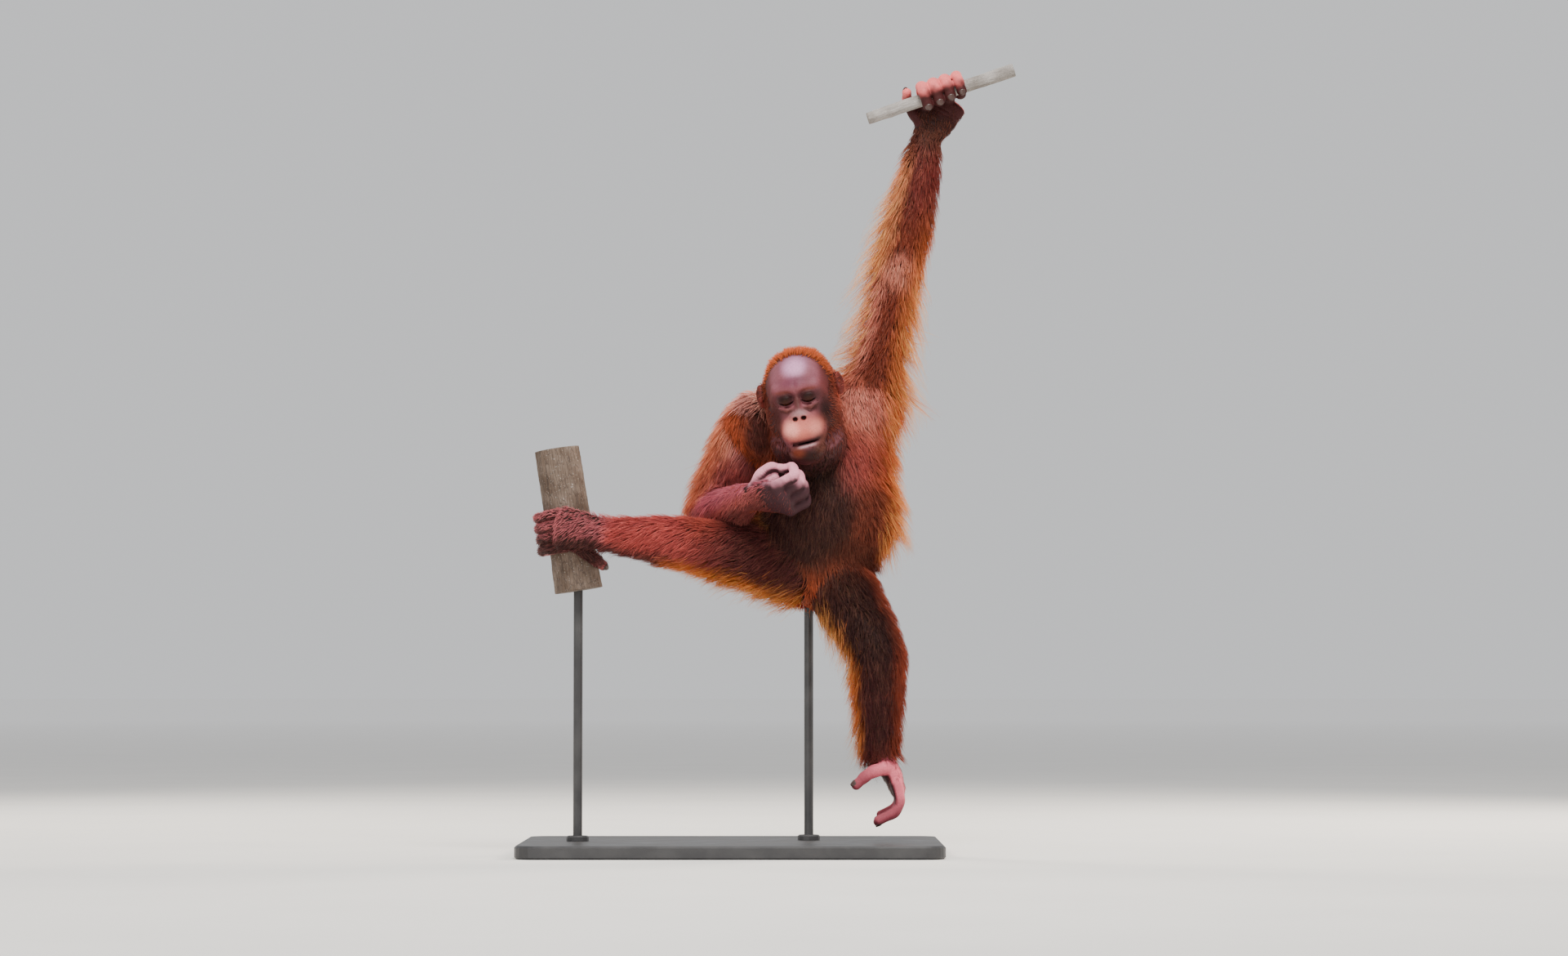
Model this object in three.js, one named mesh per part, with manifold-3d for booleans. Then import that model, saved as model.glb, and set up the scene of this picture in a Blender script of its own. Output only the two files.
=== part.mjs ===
// A young orangutan hanging by its left hand from a cut length of branch, with its right foot
// round a cut length of tree stem, its right fist before its chest and its left leg hanging.
// A plain display stand carries it: a flat base, a rod to the rump and a rod to the stem.
// Millimetres, +Z up. The animal faces -Y, so its left side is at +X. The origin is the middle of
// the base's underside.
import * as THREE from "three";
import { mergeVertices } from "three/addons/utils/BufferGeometryUtils.js";
import Module from "manifold-3d";

const wasm = await Module();
wasm.setup();

const GAP = 0.3; // between touching pieces
const CORE_SHARE = 0.46; // how much of the coat's depth the solid cores reach; locks make up the rest
const LOCK = { wide: 24, thick: 5, sunk: 6 };
const DOWN = new THREE.Vector3(0, 0, -1);
const point = (x, y, z) => new THREE.Vector3(x, y, z);

// The stand and the two perches
const BASE = { length: 640, depth: 400, thick: 20, corner: 30, bevel: 3 };
const ROD_RADIUS = 7;
const COLLAR = { radius: 17, height: 8 };
const BRANCH = { at: point(322, -8, 1165), lean: 17.6, radius: 10.5, left: 120, right: 118 };
const STEM = { at: point(-248, -5, 492), lean: 9, radius: 36, down: 92, up: 128 };
const RUMP_ROD = point(118, 34, 0);

// Head sizes, in the head's own frame: from the bridge of the nose, +X to its left, -Y forward
const HEAD = {
  at: point(99, -134, 688),
  yaw: -8,
  roll: -9.5,
  pitch: 12,
  eyeApart: 17,
  eyeDeep: 9,
  eyeRadius: 11,
  lidThick: 2.2,
  slit: 2.4,
};

// Gives a three.js geometry as a solid of manifold-3d.
function solid(geometry, tolerance = 1e-4) {
  const bare = geometry.index ? geometry.toNonIndexed() : geometry.clone();
  for (const name of Object.keys(bare.attributes)) {
    if (name !== "position") bare.deleteAttribute(name);
  }
  const merged = mergeVertices(bare, tolerance);
  return new wasm.Manifold(
    new wasm.Mesh({
      numProp: 3,
      vertProperties: merged.attributes.position.array,
      triVerts: new Uint32Array(merged.index.array),
    }),
  );
}

const join = (solids) => solids.reduce((all, next) => all.add(next));

const skinOf = (body) => {
  const { vertProperties, triVerts } = body.getMesh();
  const geometry = new THREE.BufferGeometry();
  geometry.setAttribute("position", new THREE.BufferAttribute(vertProperties, 3));
  return geometry.setIndex(new THREE.BufferAttribute(triVerts, 1));
};

// Keeps a solid's largest closed surface.
function largest(body) {
  const pieces = body.decompose().sort((a, b) => b.volume() - a.volume());
  return pieces[0];
}

// A seeded random number from 0 to 1.
function dice(seed) {
  let state = seed;
  return () => {
    state = (state * 1664525 + 1013904223) % 4294967296;
    return state / 4294967296;
  };
}

// The cross-sections of a limb. A station has its place `at`, half its width `wide` along `flat`
// and half its thickness `thick` across that. Between stations the form is smooth.
function rings(stations, steps) {
  const path = new THREE.CatmullRomCurve3(stations.map((s) => s.at), false, "centripetal");
  const sizes = stations.map((s) => point(s.wide, s.thick, 0));
  const flats = stations.map((s) => s.flat);
  const count = (stations.length - 1) * steps;
  return Array.from({ length: count + 1 }, (_, i) => {
    const place = i / steps;
    const low = Math.min(Math.floor(place), stations.length - 2);
    const size = sizes[low].clone().lerp(sizes[low + 1], THREE.MathUtils.smoothstep(place - low, 0, 1));
    const along = path.getTangent(i / count);
    const side = flats[low].clone().lerp(flats[low + 1], place - low);
    side.addScaledVector(along, -side.dot(along)).normalize();
    return {
      at: path.getPoint(i / count),
      along,
      side,
      over: along.clone().cross(side),
      wide: size.x,
      thick: size.y,
      coat: 0,
      fringes: [],
    };
  });
}

// How deep the coat is on a ring, where the skin faces `out`
function coatDepth(ring, out) {
  let depth = ring.coat;
  for (const { to, long } of ring.fringes) depth += long * Math.max(0, out.dot(to)) ** 1.5;
  return depth;
}

// A point of a ring at `turn`, over the skin by `share` of the coat's depth
function ringPoint(ring, turn, grow, share) {
  const out = ring.side
    .clone()
    .multiplyScalar(Math.cos(turn) / ring.wide)
    .addScaledVector(ring.over, Math.sin(turn) / ring.thick)
    .normalize();
  return ring.at
    .clone()
    .addScaledVector(ring.side, ring.wide * Math.cos(turn))
    .addScaledVector(ring.over, ring.thick * Math.sin(turn))
    .addScaledVector(out, coatDepth(ring, out) * share + grow);
}

// A closed tube over rings, with a flat end or, where a length is given, a round one.
function tube(list, sides, { grow = 0, startDome = 0, endDome = 0, shift = 0 } = {}) {
  const first = list[0];
  const last = list[list.length - 1];
  const ends = [0.5, 0.87];
  const shrunk = (ring, share, reach) => ({
    ...ring,
    at: ring.at.clone().addScaledVector(ring.along, reach),
    wide: (ring.wide + grow) * share - grow,
    thick: (ring.thick + grow) * share - grow,
    coat: ring.coat * share,
    fringes: ring.fringes.map(({ to, long }) => ({ to, long: long * share })),
  });
  const rows = [
    ...(startDome ? [shrunk(first, ends[0], -startDome * ends[1])] : []),
    ...(startDome ? [shrunk(first, ends[1], -startDome * ends[0])] : []),
    { ...first, at: first.at.clone().addScaledVector(first.along, shift) },
    ...list.slice(1),
    ...(endDome ? [shrunk(last, ends[1], endDome * ends[0])] : []),
    ...(endDome ? [shrunk(last, ends[0], endDome * ends[1])] : []),
  ];
  const turns = Array.from({ length: sides }, (_, k) => (2 * Math.PI * k) / sides);
  return sheath(
    rows.map((ring) => turns.map((turn) => ringPoint(ring, turn, grow, CORE_SHARE))),
    first.at.clone().addScaledVector(first.along, shift - startDome - (startDome ? grow : 0)),
    last.at.clone().addScaledVector(last.along, endDome + (endDome ? grow : 0)),
  );
}

// A closed skin over rows of points, from the point `tail` to the point `tip`
function sheath(rows, tail, tip) {
  const sides = rows[0].length;
  const positions = [...rows.flat(), tail, tip].flatMap((p) => p.toArray());
  const tailIndex = rows.length * sides;
  const index = [];
  for (let k = 0; k < sides; k++) {
    const next = (k + 1) % sides;
    index.push(tailIndex, next, k);
    const end = (rows.length - 1) * sides;
    index.push(tailIndex + 1, end + k, end + next);
    for (let i = 0; i < rows.length - 1; i++) {
      const a = i * sides + k;
      const b = i * sides + next;
      index.push(a, b, a + sides, b, b + sides, a + sides);
    }
  }
  const geometry = new THREE.BufferGeometry();
  geometry.setAttribute("position", new THREE.Float32BufferAttribute(positions, 3));
  geometry.setIndex(index);
  return solid(geometry);
}

// Signed distance to an ellipsoid, near enough for blending.
function ellipsoid(p, centre, radii) {
  const q = p.clone().sub(centre);
  const near = q.clone().divide(radii).length();
  const slope = q.clone().divide(radii).divide(radii).length();
  return slope > 1e-9 ? (near * (near - 1)) / slope : -Math.min(radii.x, radii.y, radii.z);
}

// Signed distance to a rod with round ends.
function rod(p, a, b, radius) {
  const span = b.clone().sub(a);
  const share = THREE.MathUtils.clamp(p.clone().sub(a).dot(span) / span.lengthSq(), 0, 1);
  return p.distanceTo(a.clone().addScaledVector(span, share)) - radius;
}

// Joins two distances, with a fillet of about `soft`.
function blend(a, b, soft) {
  const share = Math.max(soft - Math.abs(a - b), 0) / soft;
  return Math.min(a, b) - (share * share * soft) / 4;
}

const carve = (a, b, soft) => -blend(-a, b, soft);

// Where the ray from `centre` last leaves a field grown by `grow`.
function cast(field, centre, direction, grow, reach) {
  const step = 4;
  const at = (t) => field(centre.clone().addScaledVector(direction, t)) - grow;
  let inside = reach;
  while (inside > 0 && at(inside) > 0) inside -= step;
  let outside = inside + step;
  for (let i = 0; i < 14; i++) {
    const middle = (inside + outside) / 2;
    if (at(middle) > 0) outside = middle;
    else inside = middle;
  }
  return centre.clone().addScaledVector(direction, (inside + outside) / 2);
}

// A sphere's vertices moved out to a field's surface, with the poles along `pole` and the rings
// packed towards it by `pack`.
function blob(field, centre, { wide, high, pole, pack = 1, grow = 0, reach }) {
  const turn = new THREE.Quaternion().setFromUnitVectors(point(0, 1, 0), pole);
  const sphere = new THREE.SphereGeometry(1, wide, high);
  const spots = sphere.attributes.position;
  for (let i = 0; i < spots.count; i++) {
    const direction = point(0, 0, 0).fromBufferAttribute(spots, i).normalize();
    const angle = Math.acos(THREE.MathUtils.clamp(direction.y, -1, 1));
    const packed = Math.PI * (angle / Math.PI) ** pack;
    const flat = Math.hypot(direction.x, direction.z);
    const around = flat > 1e-6 ? Math.sin(packed) / flat : 0;
    direction.set(direction.x * around, Math.cos(packed), direction.z * around);
    const hit = cast(field, centre, direction.applyQuaternion(turn).normalize(), grow, reach);
    spots.setXYZ(i, hit.x, hit.y, hit.z);
  }
  return solid(sphere);
}

// The head
const headTurn = new THREE.Matrix4()
  .makeRotationZ(THREE.MathUtils.degToRad(HEAD.yaw))
  .multiply(new THREE.Matrix4().makeRotationY(THREE.MathUtils.degToRad(HEAD.roll)))
  .multiply(new THREE.Matrix4().makeRotationX(THREE.MathUtils.degToRad(HEAD.pitch)))
  .setPosition(HEAD.at);
const fromHead = (x, y, z) => point(x, y, z).applyMatrix4(headTurn);
const eyeAt = (side) => point(side * HEAD.eyeApart, HEAD.eyeDeep, -1);

// The head's flesh in its own frame, mirrored about X = 0
function headField(p) {
  const q = point(Math.abs(p.x), p.y, p.z);
  let d = ellipsoid(q, point(0, 62, 8), point(53, 66, 54)); // skull
  d = blend(d, ellipsoid(q, point(0, 44, -30), point(45, 42, 52)), 14); // middle of the face
  d = blend(d, ellipsoid(q, point(0, 12, -50), point(34, 38, 31)), 14); // muzzle
  d = blend(d, ellipsoid(q, point(0, -10, -52), point(30, 25, 15)), 10); // upper lip
  d = blend(d, ellipsoid(q, point(0, 8, -84), point(28, 30, 20)), 10); // chin
  d = blend(d, ellipsoid(q, point(0, -12, -74), point(21, 17, 9)), 7); // lower lip
  d = blend(d, ellipsoid(q, point(34, 44, -34), point(20, 30, 28)), 14); // cheek
  d = blend(d, rod(q, point(6, 1, 13), point(29, 12, 12), 7), 8); // brow
  d = blend(d, rod(q, point(29, 12, 12), point(36, 20, -4), 6), 8); // outer rim of the orbit
  d = blend(d, ellipsoid(q, point(0, -3, -27), point(10, 11, 8)), 7); // nose
  d = carve(d, ellipsoid(q, point(17, -6, -1), point(14, 12, 11)), 7); // orbit
  return d;
}

// How deep the coat is on the head: none on the face
function headCoat(p) {
  const back = THREE.MathUtils.smoothstep(p.y - 0.4 * Math.abs(p.x), 6, 26);
  return back * (7 + 8 * THREE.MathUtils.smoothstep(p.y, 60, 120));
}

const faceCentre = point(0, 40, -14);
const headPole = point(0, -0.9, -0.44).normalize();

function headCore(grow) {
  const dressed = (p) => headField(p) - CORE_SHARE * headCoat(p);
  const mesh = { wide: 24, high: 22, pole: headPole, pack: 1.3, grow, reach: 140 };
  const shell = blob(dressed, faceCentre, mesh);
  return shell.transform(headTurn.elements);
}

function ball(centre, radii, wide, high, turn = new THREE.Matrix4()) {
  const sphere = new THREE.SphereGeometry(1, wide, high);
  sphere.rotateX(Math.PI / 2);
  sphere.scale(radii.x, radii.y, radii.z).translate(centre.x, centre.y, centre.z);
  return solid(sphere.applyMatrix4(turn));
}

// Lids over the eyes, with the slit that looking down leaves, nostrils and the parted mouth
function faceDetails(head) {
  let face = head;
  for (const side of [-1, 1]) {
    const centre = eyeAt(side);
    const lid = HEAD.eyeRadius + GAP + HEAD.lidThick;
    const hollow = HEAD.eyeRadius + GAP;
    face = face.add(ball(centre, point(lid, lid, lid), 12, 8, headTurn));
    face = face.subtract(ball(centre, point(hollow, hollow, hollow), 12, 8, headTurn));
    const slit = new THREE.BoxGeometry(16, 12, HEAD.slit).translate(centre.x, centre.y - 12, centre.z - 4.5);
    face = face.subtract(solid(slit.applyMatrix4(headTurn)));
    face = face.subtract(ball(point(side * 6.5, -13, -30), point(4.2, 6.5, 3), 8, 6, headTurn));
  }
  const mouth = new THREE.SphereGeometry(1, 14, 6).rotateX(Math.PI / 2).scale(26, 24, 2.8);
  return face.subtract(solid(mouth.translate(1, -24, -64).applyMatrix4(headTurn)));
}

function earCore(side, grow) {
  const outer = ball(point(side * 60, 58, 4), point(9 + grow, 12 + grow, 18 + grow), 10, 8, headTurn);
  const cup = ball(point(side * 69, 53, 5), point(7, 8, 12), 8, 6, headTurn);
  return outer.subtract(cup);
}

// The trunk of the body
function torsoField(p) {
  let d = ellipsoid(p, point(142, 12, 592), point(96, 74, 92)); // chest
  d = blend(d, ellipsoid(p, point(150, -2, 512), point(94, 76, 78)), 30); // belly
  d = blend(d, ellipsoid(p, point(128, 12, 442), point(70, 58, 56)), 30); // pelvis
  d = blend(d, ellipsoid(p, point(122, 18, 658), point(78, 56, 48)), 30); // top of the chest
  d = blend(d, ellipsoid(p, point(208, 14, 690), point(38, 38, 44)), 26); // left shoulder
  d = blend(d, ellipsoid(p, point(36, 2, 650), point(40, 40, 40)), 26); // right shoulder
  return d;
}

// How deep the coat is on the trunk: short on the chest, long on the flanks and the back
function torsoCoat(p) {
  const left = THREE.MathUtils.smoothstep(p.x, 195, 240);
  const back = THREE.MathUtils.smoothstep(p.y, 10, 70);
  return 10 + 17 * left + 10 * back;
}

const torsoCentre = point(142, 8, 560);
function torsoCore(grow) {
  const dressed = (p) => torsoField(p) - CORE_SHARE * torsoCoat(p);
  return blob(dressed, torsoCentre, { wide: 20, high: 16, pole: point(0, 0, 1), grow, reach: 260 });
}

// Neck and throat, with the throat's loose fold under the chin
function neckField(p) {
  let d = rod(p, point(124, 16, 650), fromHead(0, 62, -30), 46);
  d = blend(d, ellipsoid(p, point(116, -72, 628), point(56, 44, 48)), 16);
  return d;
}

function neckCore(grow) {
  const dressed = (p) => neckField(p) - CORE_SHARE * (4 + 10 * THREE.MathUtils.smoothstep(p.y, -30, 40));
  return blob(dressed, point(120, -30, 645), { wide: 16, high: 12, pole: point(0, 0, 1), grow, reach: 160 });
}

// Limbs: named stations from the body outwards
const station = (at, wide, thick, flat) => ({ at, wide, thick, flat });
const ACROSS = point(1, 0, 0);
const branchLean = THREE.MathUtils.degToRad(BRANCH.lean);
const branchAlong = point(Math.cos(branchLean), 0, Math.sin(branchLean));
const branchOver = point(-branchAlong.z, 0, branchAlong.x);
const stemLean = THREE.MathUtils.degToRad(STEM.lean);
const stemUp = point(-Math.sin(stemLean), 0, Math.cos(stemLean));
const stemLeft = point(-stemUp.z, 0, stemUp.x);

const LIMBS = {
  left_arm: {
    steps: 2,
    coat: [14, 14, 13, 12, 12, 10, 5, 0, 0],
    fringes: [
      { to: point(1, 0, 0), long: [26, 32, 30, 8, 4, 3, 4, 0, 0] },
      { to: point(-1, 0.3, 0).normalize(), long: [24, 30, 28, 16, 18, 12, 5, 0, 0] },
    ],
    cuts: { upper_arm_left: [0, 6], forearm_left: [6, 12], hand_left: [12, 16] },
    stations: [
      station(point(204, 14, 672), 38, 36, ACROSS),
      station(point(219, 16, 735), 36, 34, ACROSS),
      station(point(238, 22, 820), 32, 32, ACROSS),
      station(point(256, 26, 900), 31, 31, ACROSS),
      station(point(268, 24, 950), 33, 31, ACROSS),
      station(point(288, 16, 1035), 26, 25, ACROSS),
      station(point(300, 14, 1096), 21, 18, branchAlong),
      station(point(313, 17, 1128), 32, 15, branchAlong),
      station(point(325, 18, 1154), 37, 12, branchAlong),
    ],
  },
  right_arm: {
    steps: 2,
    coat: [14, 14, 13, 12],
    fringes: [{ to: point(-0.8, 0.5, -0.3).normalize(), long: [4, 8, 10, 8] }],
    cuts: { upper_arm_right: [0, 6] },
    stations: [
      station(point(38, 2, 662), 34, 36, ACROSS),
      station(point(16, 14, 632), 34, 36, ACROSS),
      station(point(-12, 36, 580), 30, 32, ACROSS),
      station(point(-34, 52, 526), 28, 28, ACROSS),
    ],
  },
  right_forearm: {
    steps: 2,
    coat: [11, 11, 9, 3, 0, 0],
    fringes: [{ to: DOWN, long: [10, 14, 12, 3, 0, 0] }],
    elbow: true,
    cuts: { forearm_right: [0, 6], hand_right: [6, 10] },
    stations: [
      station(point(-36, 50, 520), 27, 27, ACROSS),
      station(point(-18, 6, 522), 29, 29, ACROSS),
      station(point(6, -42, 531), 25, 25, ACROSS),
      station(point(29, -90, 541), 20, 18, point(-0.435, -0.607, 0.662)),
      station(point(54, -113, 540), 28, 16, point(-0.435, -0.607, 0.662)),
      station(point(79, -135, 536), 33, 13, point(-0.435, -0.607, 0.662)),
    ],
  },
  right_leg: {
    steps: 2,
    coat: [14, 14, 12, 11, 11, 12, 8, 4, 0],
    fringes: [{ to: DOWN, long: [26, 24, 20, 8, 2, 0, 0, 0, 0] }],
    cuts: { thigh_right: [0, 6], shin_right: [6, 12], foot_right: [12, 16] },
    stations: [
      station(point(104, 4, 440), 50, 50, point(0, 0, 1)),
      station(point(56, -12, 450), 45, 43, point(0, 0, 1)),
      station(point(-6, -40, 462), 38, 36, point(0, 0, 1)),
      station(point(-60, -58, 472), 33, 33, point(0, 0, 1)),
      station(point(-100, -60, 477), 32, 29, point(0, 0, 1)),
      station(point(-150, -58, 482), 25, 22, point(0, 0, 1)),
      station(point(-188, -58, 486), 21, 19, stemUp),
      station(point(-220, -61, 489), 28, 15, stemUp),
      station(point(-256, -60, 494), 33, 12, stemUp),
    ],
  },
  left_leg: {
    steps: 2,
    coat: [12, 12, 10, 9, 9, 10, 8, 1, 0],
    fringes: [
      { to: point(-1, 0.2, -0.3).normalize(), long: [28, 26, 22, 16, 10, 10, 6, 0, 0] },
      { to: point(1, 0.2, 0).normalize(), long: [2, 2, 4, 6, 6, 6, 5, 0, 0] },
    ],
    cuts: { thigh_left: [0, 6], shin_left: [6, 12], foot_left: [12, 16] },
    stations: [
      station(point(150, 6, 436), 46, 50, ACROSS),
      station(point(170, -14, 404), 44, 46, ACROSS),
      station(point(202, -52, 350), 37, 38, ACROSS),
      station(point(223, -76, 302), 32, 34, ACROSS),
      station(point(223, -70, 262), 31, 31, ACROSS),
      station(point(224, -54, 200), 25, 26, ACROSS),
      station(point(227, -42, 150), 20, 20, point(0, -1, 0)),
      station(point(243, -40, 124), 28, 15, point(0, -1, 0)),
      station(point(252, -38, 100), 32, 12, point(0, -1, 0)),
    ],
  },
};

const SKIN_NODES = ["hand_left", "hand_right", "foot_left", "foot_right"];
const LIMB_SIDES = 12;

// A limb's rings, with their coat
function limbRings(limb) {
  const between = (values, i) => {
    const low = Math.min(Math.floor(i / limb.steps), values.length - 2);
    return THREE.MathUtils.lerp(values[low], values[low + 1], i / limb.steps - low);
  };
  return rings(limb.stations, limb.steps).map((ring, i) => ({
    ...ring,
    coat: between(limb.coat, i),
    fringes: limb.fringes.map(({ to, long }) => ({ to, long: between(long, i) })),
  }));
}

function limbPiece(list, [from, to], round, grow) {
  const starts = from === 0;
  const ends = to === list.length - 1;
  return tube(list.slice(from, to + 1), LIMB_SIDES, {
    grow,
    shift: starts ? 0 : GAP,
    startDome: starts && round ? list[from].thick : 0,
    endDome: ends ? list[to].thick : 0,
  });
}

// A finger or toe along bent bones: [direction, length] from its knuckle
function digit(knuckle, bones, radii, flat, grow = 0) {
  const spots = [knuckle];
  for (const [direction, length] of bones) {
    spots.push(spots[spots.length - 1].clone().addScaledVector(direction, length));
  }
  const list = rings(
    spots.map((at, i) => station(at, radii[i], radii[i] * 0.92, flat)),
    2,
  );
  return tube(list, 7, { grow, endDome: radii[radii.length - 1] * 0.9 });
}

// Bones that wrap a round perch: turns in degrees about `axis` from `from`, at `radius`
function wrap(centre, axisFrom, axisTo, radius, turns) {
  const spots = turns.map((turn) => {
    const angle = THREE.MathUtils.degToRad(turn);
    return centre
      .clone()
      .addScaledVector(axisFrom, radius * Math.cos(angle))
      .addScaledVector(axisTo, radius * Math.sin(angle));
  });
  return spots;
}

function digitThrough(spots, radii, flat, grow = 0) {
  const list = rings(
    spots.map((at, i) => station(at, radii[i], radii[i] * 0.92, flat)),
    2,
  );
  return tube(list, 7, { grow, endDome: radii[radii.length - 1] * 0.9 });
}

const FINGER_NAMES = ["index", "middle", "ring", "little"];
const TOE_NAMES = ["second", "third", "fourth", "fifth"];
const digits = [];

// Left fingers hook over the branch from behind
FINGER_NAMES.forEach((name, i) => {
  const centre = BRANCH.at.clone().addScaledVector(branchAlong, -26 + 18.6 * i);
  const radii = [8.8, 8.4, 8.2, 7.8, 7.2].map((r) => r * (i === 3 ? 0.9 : 1));
  const turns = [-22, 35, 92, 150, 198 - 6 * i];
  const spots = wrap(centre, point(0, 1, 0), branchOver, BRANCH.radius + 9.6, turns);
  const make = (grow) => digitThrough(spots, radii, branchAlong, grow);
  digits.push({ name: `finger_left_${name}`, palm: "hand_left", make });
});
digits.push({
  name: "thumb_left",
  palm: "hand_left",
  make: (grow) =>
    digitThrough(
      [point(296, 14, 1118), point(280, 17, 1138), point(270, 13, 1160), point(269, -3, 1168)],
      [11, 9, 8, 7],
      ACROSS,
      grow,
    ),
});

// Right fingers curl into a loose fist
const fistOut = point(0.744, -0.658, -0.114);
const fistSide = point(-0.435, -0.607, 0.662);
const fistIn = point(0.505, 0.443, 0.738);
const curl = (turn) => {
  const angle = THREE.MathUtils.degToRad(turn);
  return fistOut.clone().multiplyScalar(Math.cos(angle)).addScaledVector(fistIn, Math.sin(angle)).normalize();
};
FINGER_NAMES.forEach((name, i) => {
  const length = [1, 1.06, 1, 0.84][i];
  const knuckle = point(79, -135, 536).addScaledVector(fistSide, 27 - 17.8 * i);
  const bones = [
    [curl(48), 30 * length],
    [curl(128), 23 * length],
    [curl(200), 15 * length],
  ];
  const radii = [9, 8.6, 8, 7.2].map((r) => r * (i === 3 ? 0.92 : 1));
  const make = (grow) => digit(knuckle, bones, radii, fistSide, grow);
  digits.push({ name: `finger_right_${name}`, palm: "hand_right", make });
});
digits.push({
  name: "thumb_right",
  palm: "hand_right",
  make: (grow) =>
    digitThrough(
      [point(34, -110, 551), point(44, -124, 572), point(61, -128, 584), point(77, -124, 582)],
      [11, 9, 8, 7],
      point(0, -1, 0),
      grow,
    ),
});

// Right toes wrap the stem, the great toe the other way round it
TOE_NAMES.forEach((name, i) => {
  const centre = STEM.at.clone().addScaledVector(stemUp, -24 + 16.8 * i);
  const radii = [9, 8.6, 8.2, 7.8, 7].map((r) => r * (i === 3 ? 0.9 : 1));
  const spots = wrap(centre, point(0, -1, 0), stemLeft, STEM.radius + 10, [12, 40, 70, 98, 122 - 5 * i]);
  const make = (grow) => digitThrough(spots, radii, stemUp, grow);
  digits.push({ name: `toe_right_${name}`, palm: "foot_right", make });
});
digits.push({
  name: "toe_right_great",
  palm: "foot_right",
  make: (grow) => {
    const spots = [-8, -28, -48, -68].map((turn, i) => {
      const centre = STEM.at.clone().addScaledVector(stemUp, [-22, -38, -51, -60][i]);
      return wrap(centre, point(0, -1, 0), stemLeft, STEM.radius + 10.5, [turn])[0];
    });
    return digitThrough(spots, [12, 10.5, 9.5, 8], stemUp, grow);
  },
});

// Left toes hang and curl, the great toe stands out towards the other leg
TOE_NAMES.forEach((name, i) => {
  const length = [1, 1.04, 1, 0.86][i];
  const side = -64 + 17.2 * i;
  const spots = [
    point(250, side, 108),
    point(255, side + 1, 84),
    point(247, side + 2, 65),
    point(223, side + 1, 53),
  ];
  const knuckle = spots[0];
  const reach = spots.map((p) => knuckle.clone().lerp(p, length));
  const radii = [9, 8.6, 8, 7].map((r) => r * (i === 3 ? 0.9 : 1));
  const make = (grow) => digitThrough(reach, radii, point(0, 1, 0), grow);
  digits.push({ name: `toe_left_${name}`, palm: "foot_left", make });
});
digits.push({
  name: "toe_left_great",
  palm: "foot_left",
  make: (grow) =>
    digitThrough(
      [point(232, -62, 132), point(215, -68, 127), point(201, -70, 118), point(189, -70, 107)],
      [12, 10.5, 9.5, 8],
      point(0, 1, 0),
      grow,
    ),
});

// The perches and the stand
function perchBranch(grow) {
  const spots = [-BRANCH.left, -60, 0, 60, BRANCH.right].map((reach, i) =>
    BRANCH.at
      .clone()
      .addScaledVector(branchAlong, reach)
      .addScaledVector(branchOver, [-2.5, -0.6, 0, 0.4, 1.5][i]),
  );
  const radii = [9.6, 10.1, 10.5, 10.5, 11].map((r) => r * (BRANCH.radius / 10.5));
  const list = rings(spots.map((at, i) => station(at, radii[i], radii[i], point(0, 1, 0))), 1);
  return tube(list, 12, { grow });
}

function perchStem(grow) {
  const spots = [-STEM.down, -40, 20, STEM.up].map((reach) => STEM.at.clone().addScaledVector(stemUp, reach));
  const radii = [1.04, 1.0, 0.99, 0.96].map((share) => share * STEM.radius);
  const list = rings(spots.map((at, i) => station(at, radii[i], radii[i], ACROSS)), 1);
  return tube(list, 18, { grow });
}

function standBase() {
  const { length, depth, thick, corner, bevel } = BASE;
  const x = length / 2 - corner;
  const y = depth / 2 - corner;
  const outline = new THREE.Shape();
  outline.absarc(x, y, corner - bevel, 0, Math.PI / 2);
  outline.absarc(-x, y, corner - bevel, Math.PI / 2, Math.PI);
  outline.absarc(-x, -y, corner - bevel, Math.PI, 1.5 * Math.PI);
  outline.absarc(x, -y, corner - bevel, 1.5 * Math.PI, 2 * Math.PI);
  const plate = new THREE.ExtrudeGeometry(outline, {
    depth: thick - 2 * bevel,
    bevelThickness: bevel,
    bevelSize: bevel,
    bevelSegments: 1,
    curveSegments: 3,
  });
  return solid(plate.translate(0, 0, bevel));
}

// An upright rod with a collar on the base, from the base's top to `top`
function standRod(at, top, grow) {
  const foot = BASE.thick + GAP;
  const profile = [
    [0, foot],
    [COLLAR.radius, foot],
    [COLLAR.radius, foot + COLLAR.height - 2],
    [COLLAR.radius - 2, foot + COLLAR.height],
    [ROD_RADIUS, foot + COLLAR.height],
    [ROD_RADIUS, top],
    [0, top],
  ].map(([r, z]) => new THREE.Vector2(r && r + grow, z));
  return solid(new THREE.LatheGeometry(profile, 12).rotateX(Math.PI / 2).translate(at.x, at.y, 0));
}

// Materials
const finish = (color, roughness, metalness = 0) =>
  new THREE.MeshStandardMaterial({ color, roughness, metalness });
const coat = finish(0x8a4024, 0.85);
const bareSkin = finish(0xa0685c, 0.6);
const faceSkin = finish(0x8d6258, 0.55);
const bark = finish(0xa89c8c, 0.9);
const stand = finish(0x2b2826, 0.5, 0.2);

const animal = new THREE.Group();
const made = [];

// Adds a node, cut clear of every earlier one that its box touches.
function place(name, make, material) {
  let body = make(0);
  for (const other of made) {
    if (touches(body, other.grown)) body = body.subtract(other.grown);
  }
  if (body.isEmpty()) throw new Error(`${name} is empty`);
  made.push({ name, body: largest(body), grown: make(GAP), material });
}

function touches(a, b) {
  const one = a.boundingBox();
  const two = b.boundingBox();
  return [0, 1, 2].every((k) => one.min[k] < two.max[k] && two.min[k] < one.max[k]);
}

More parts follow.
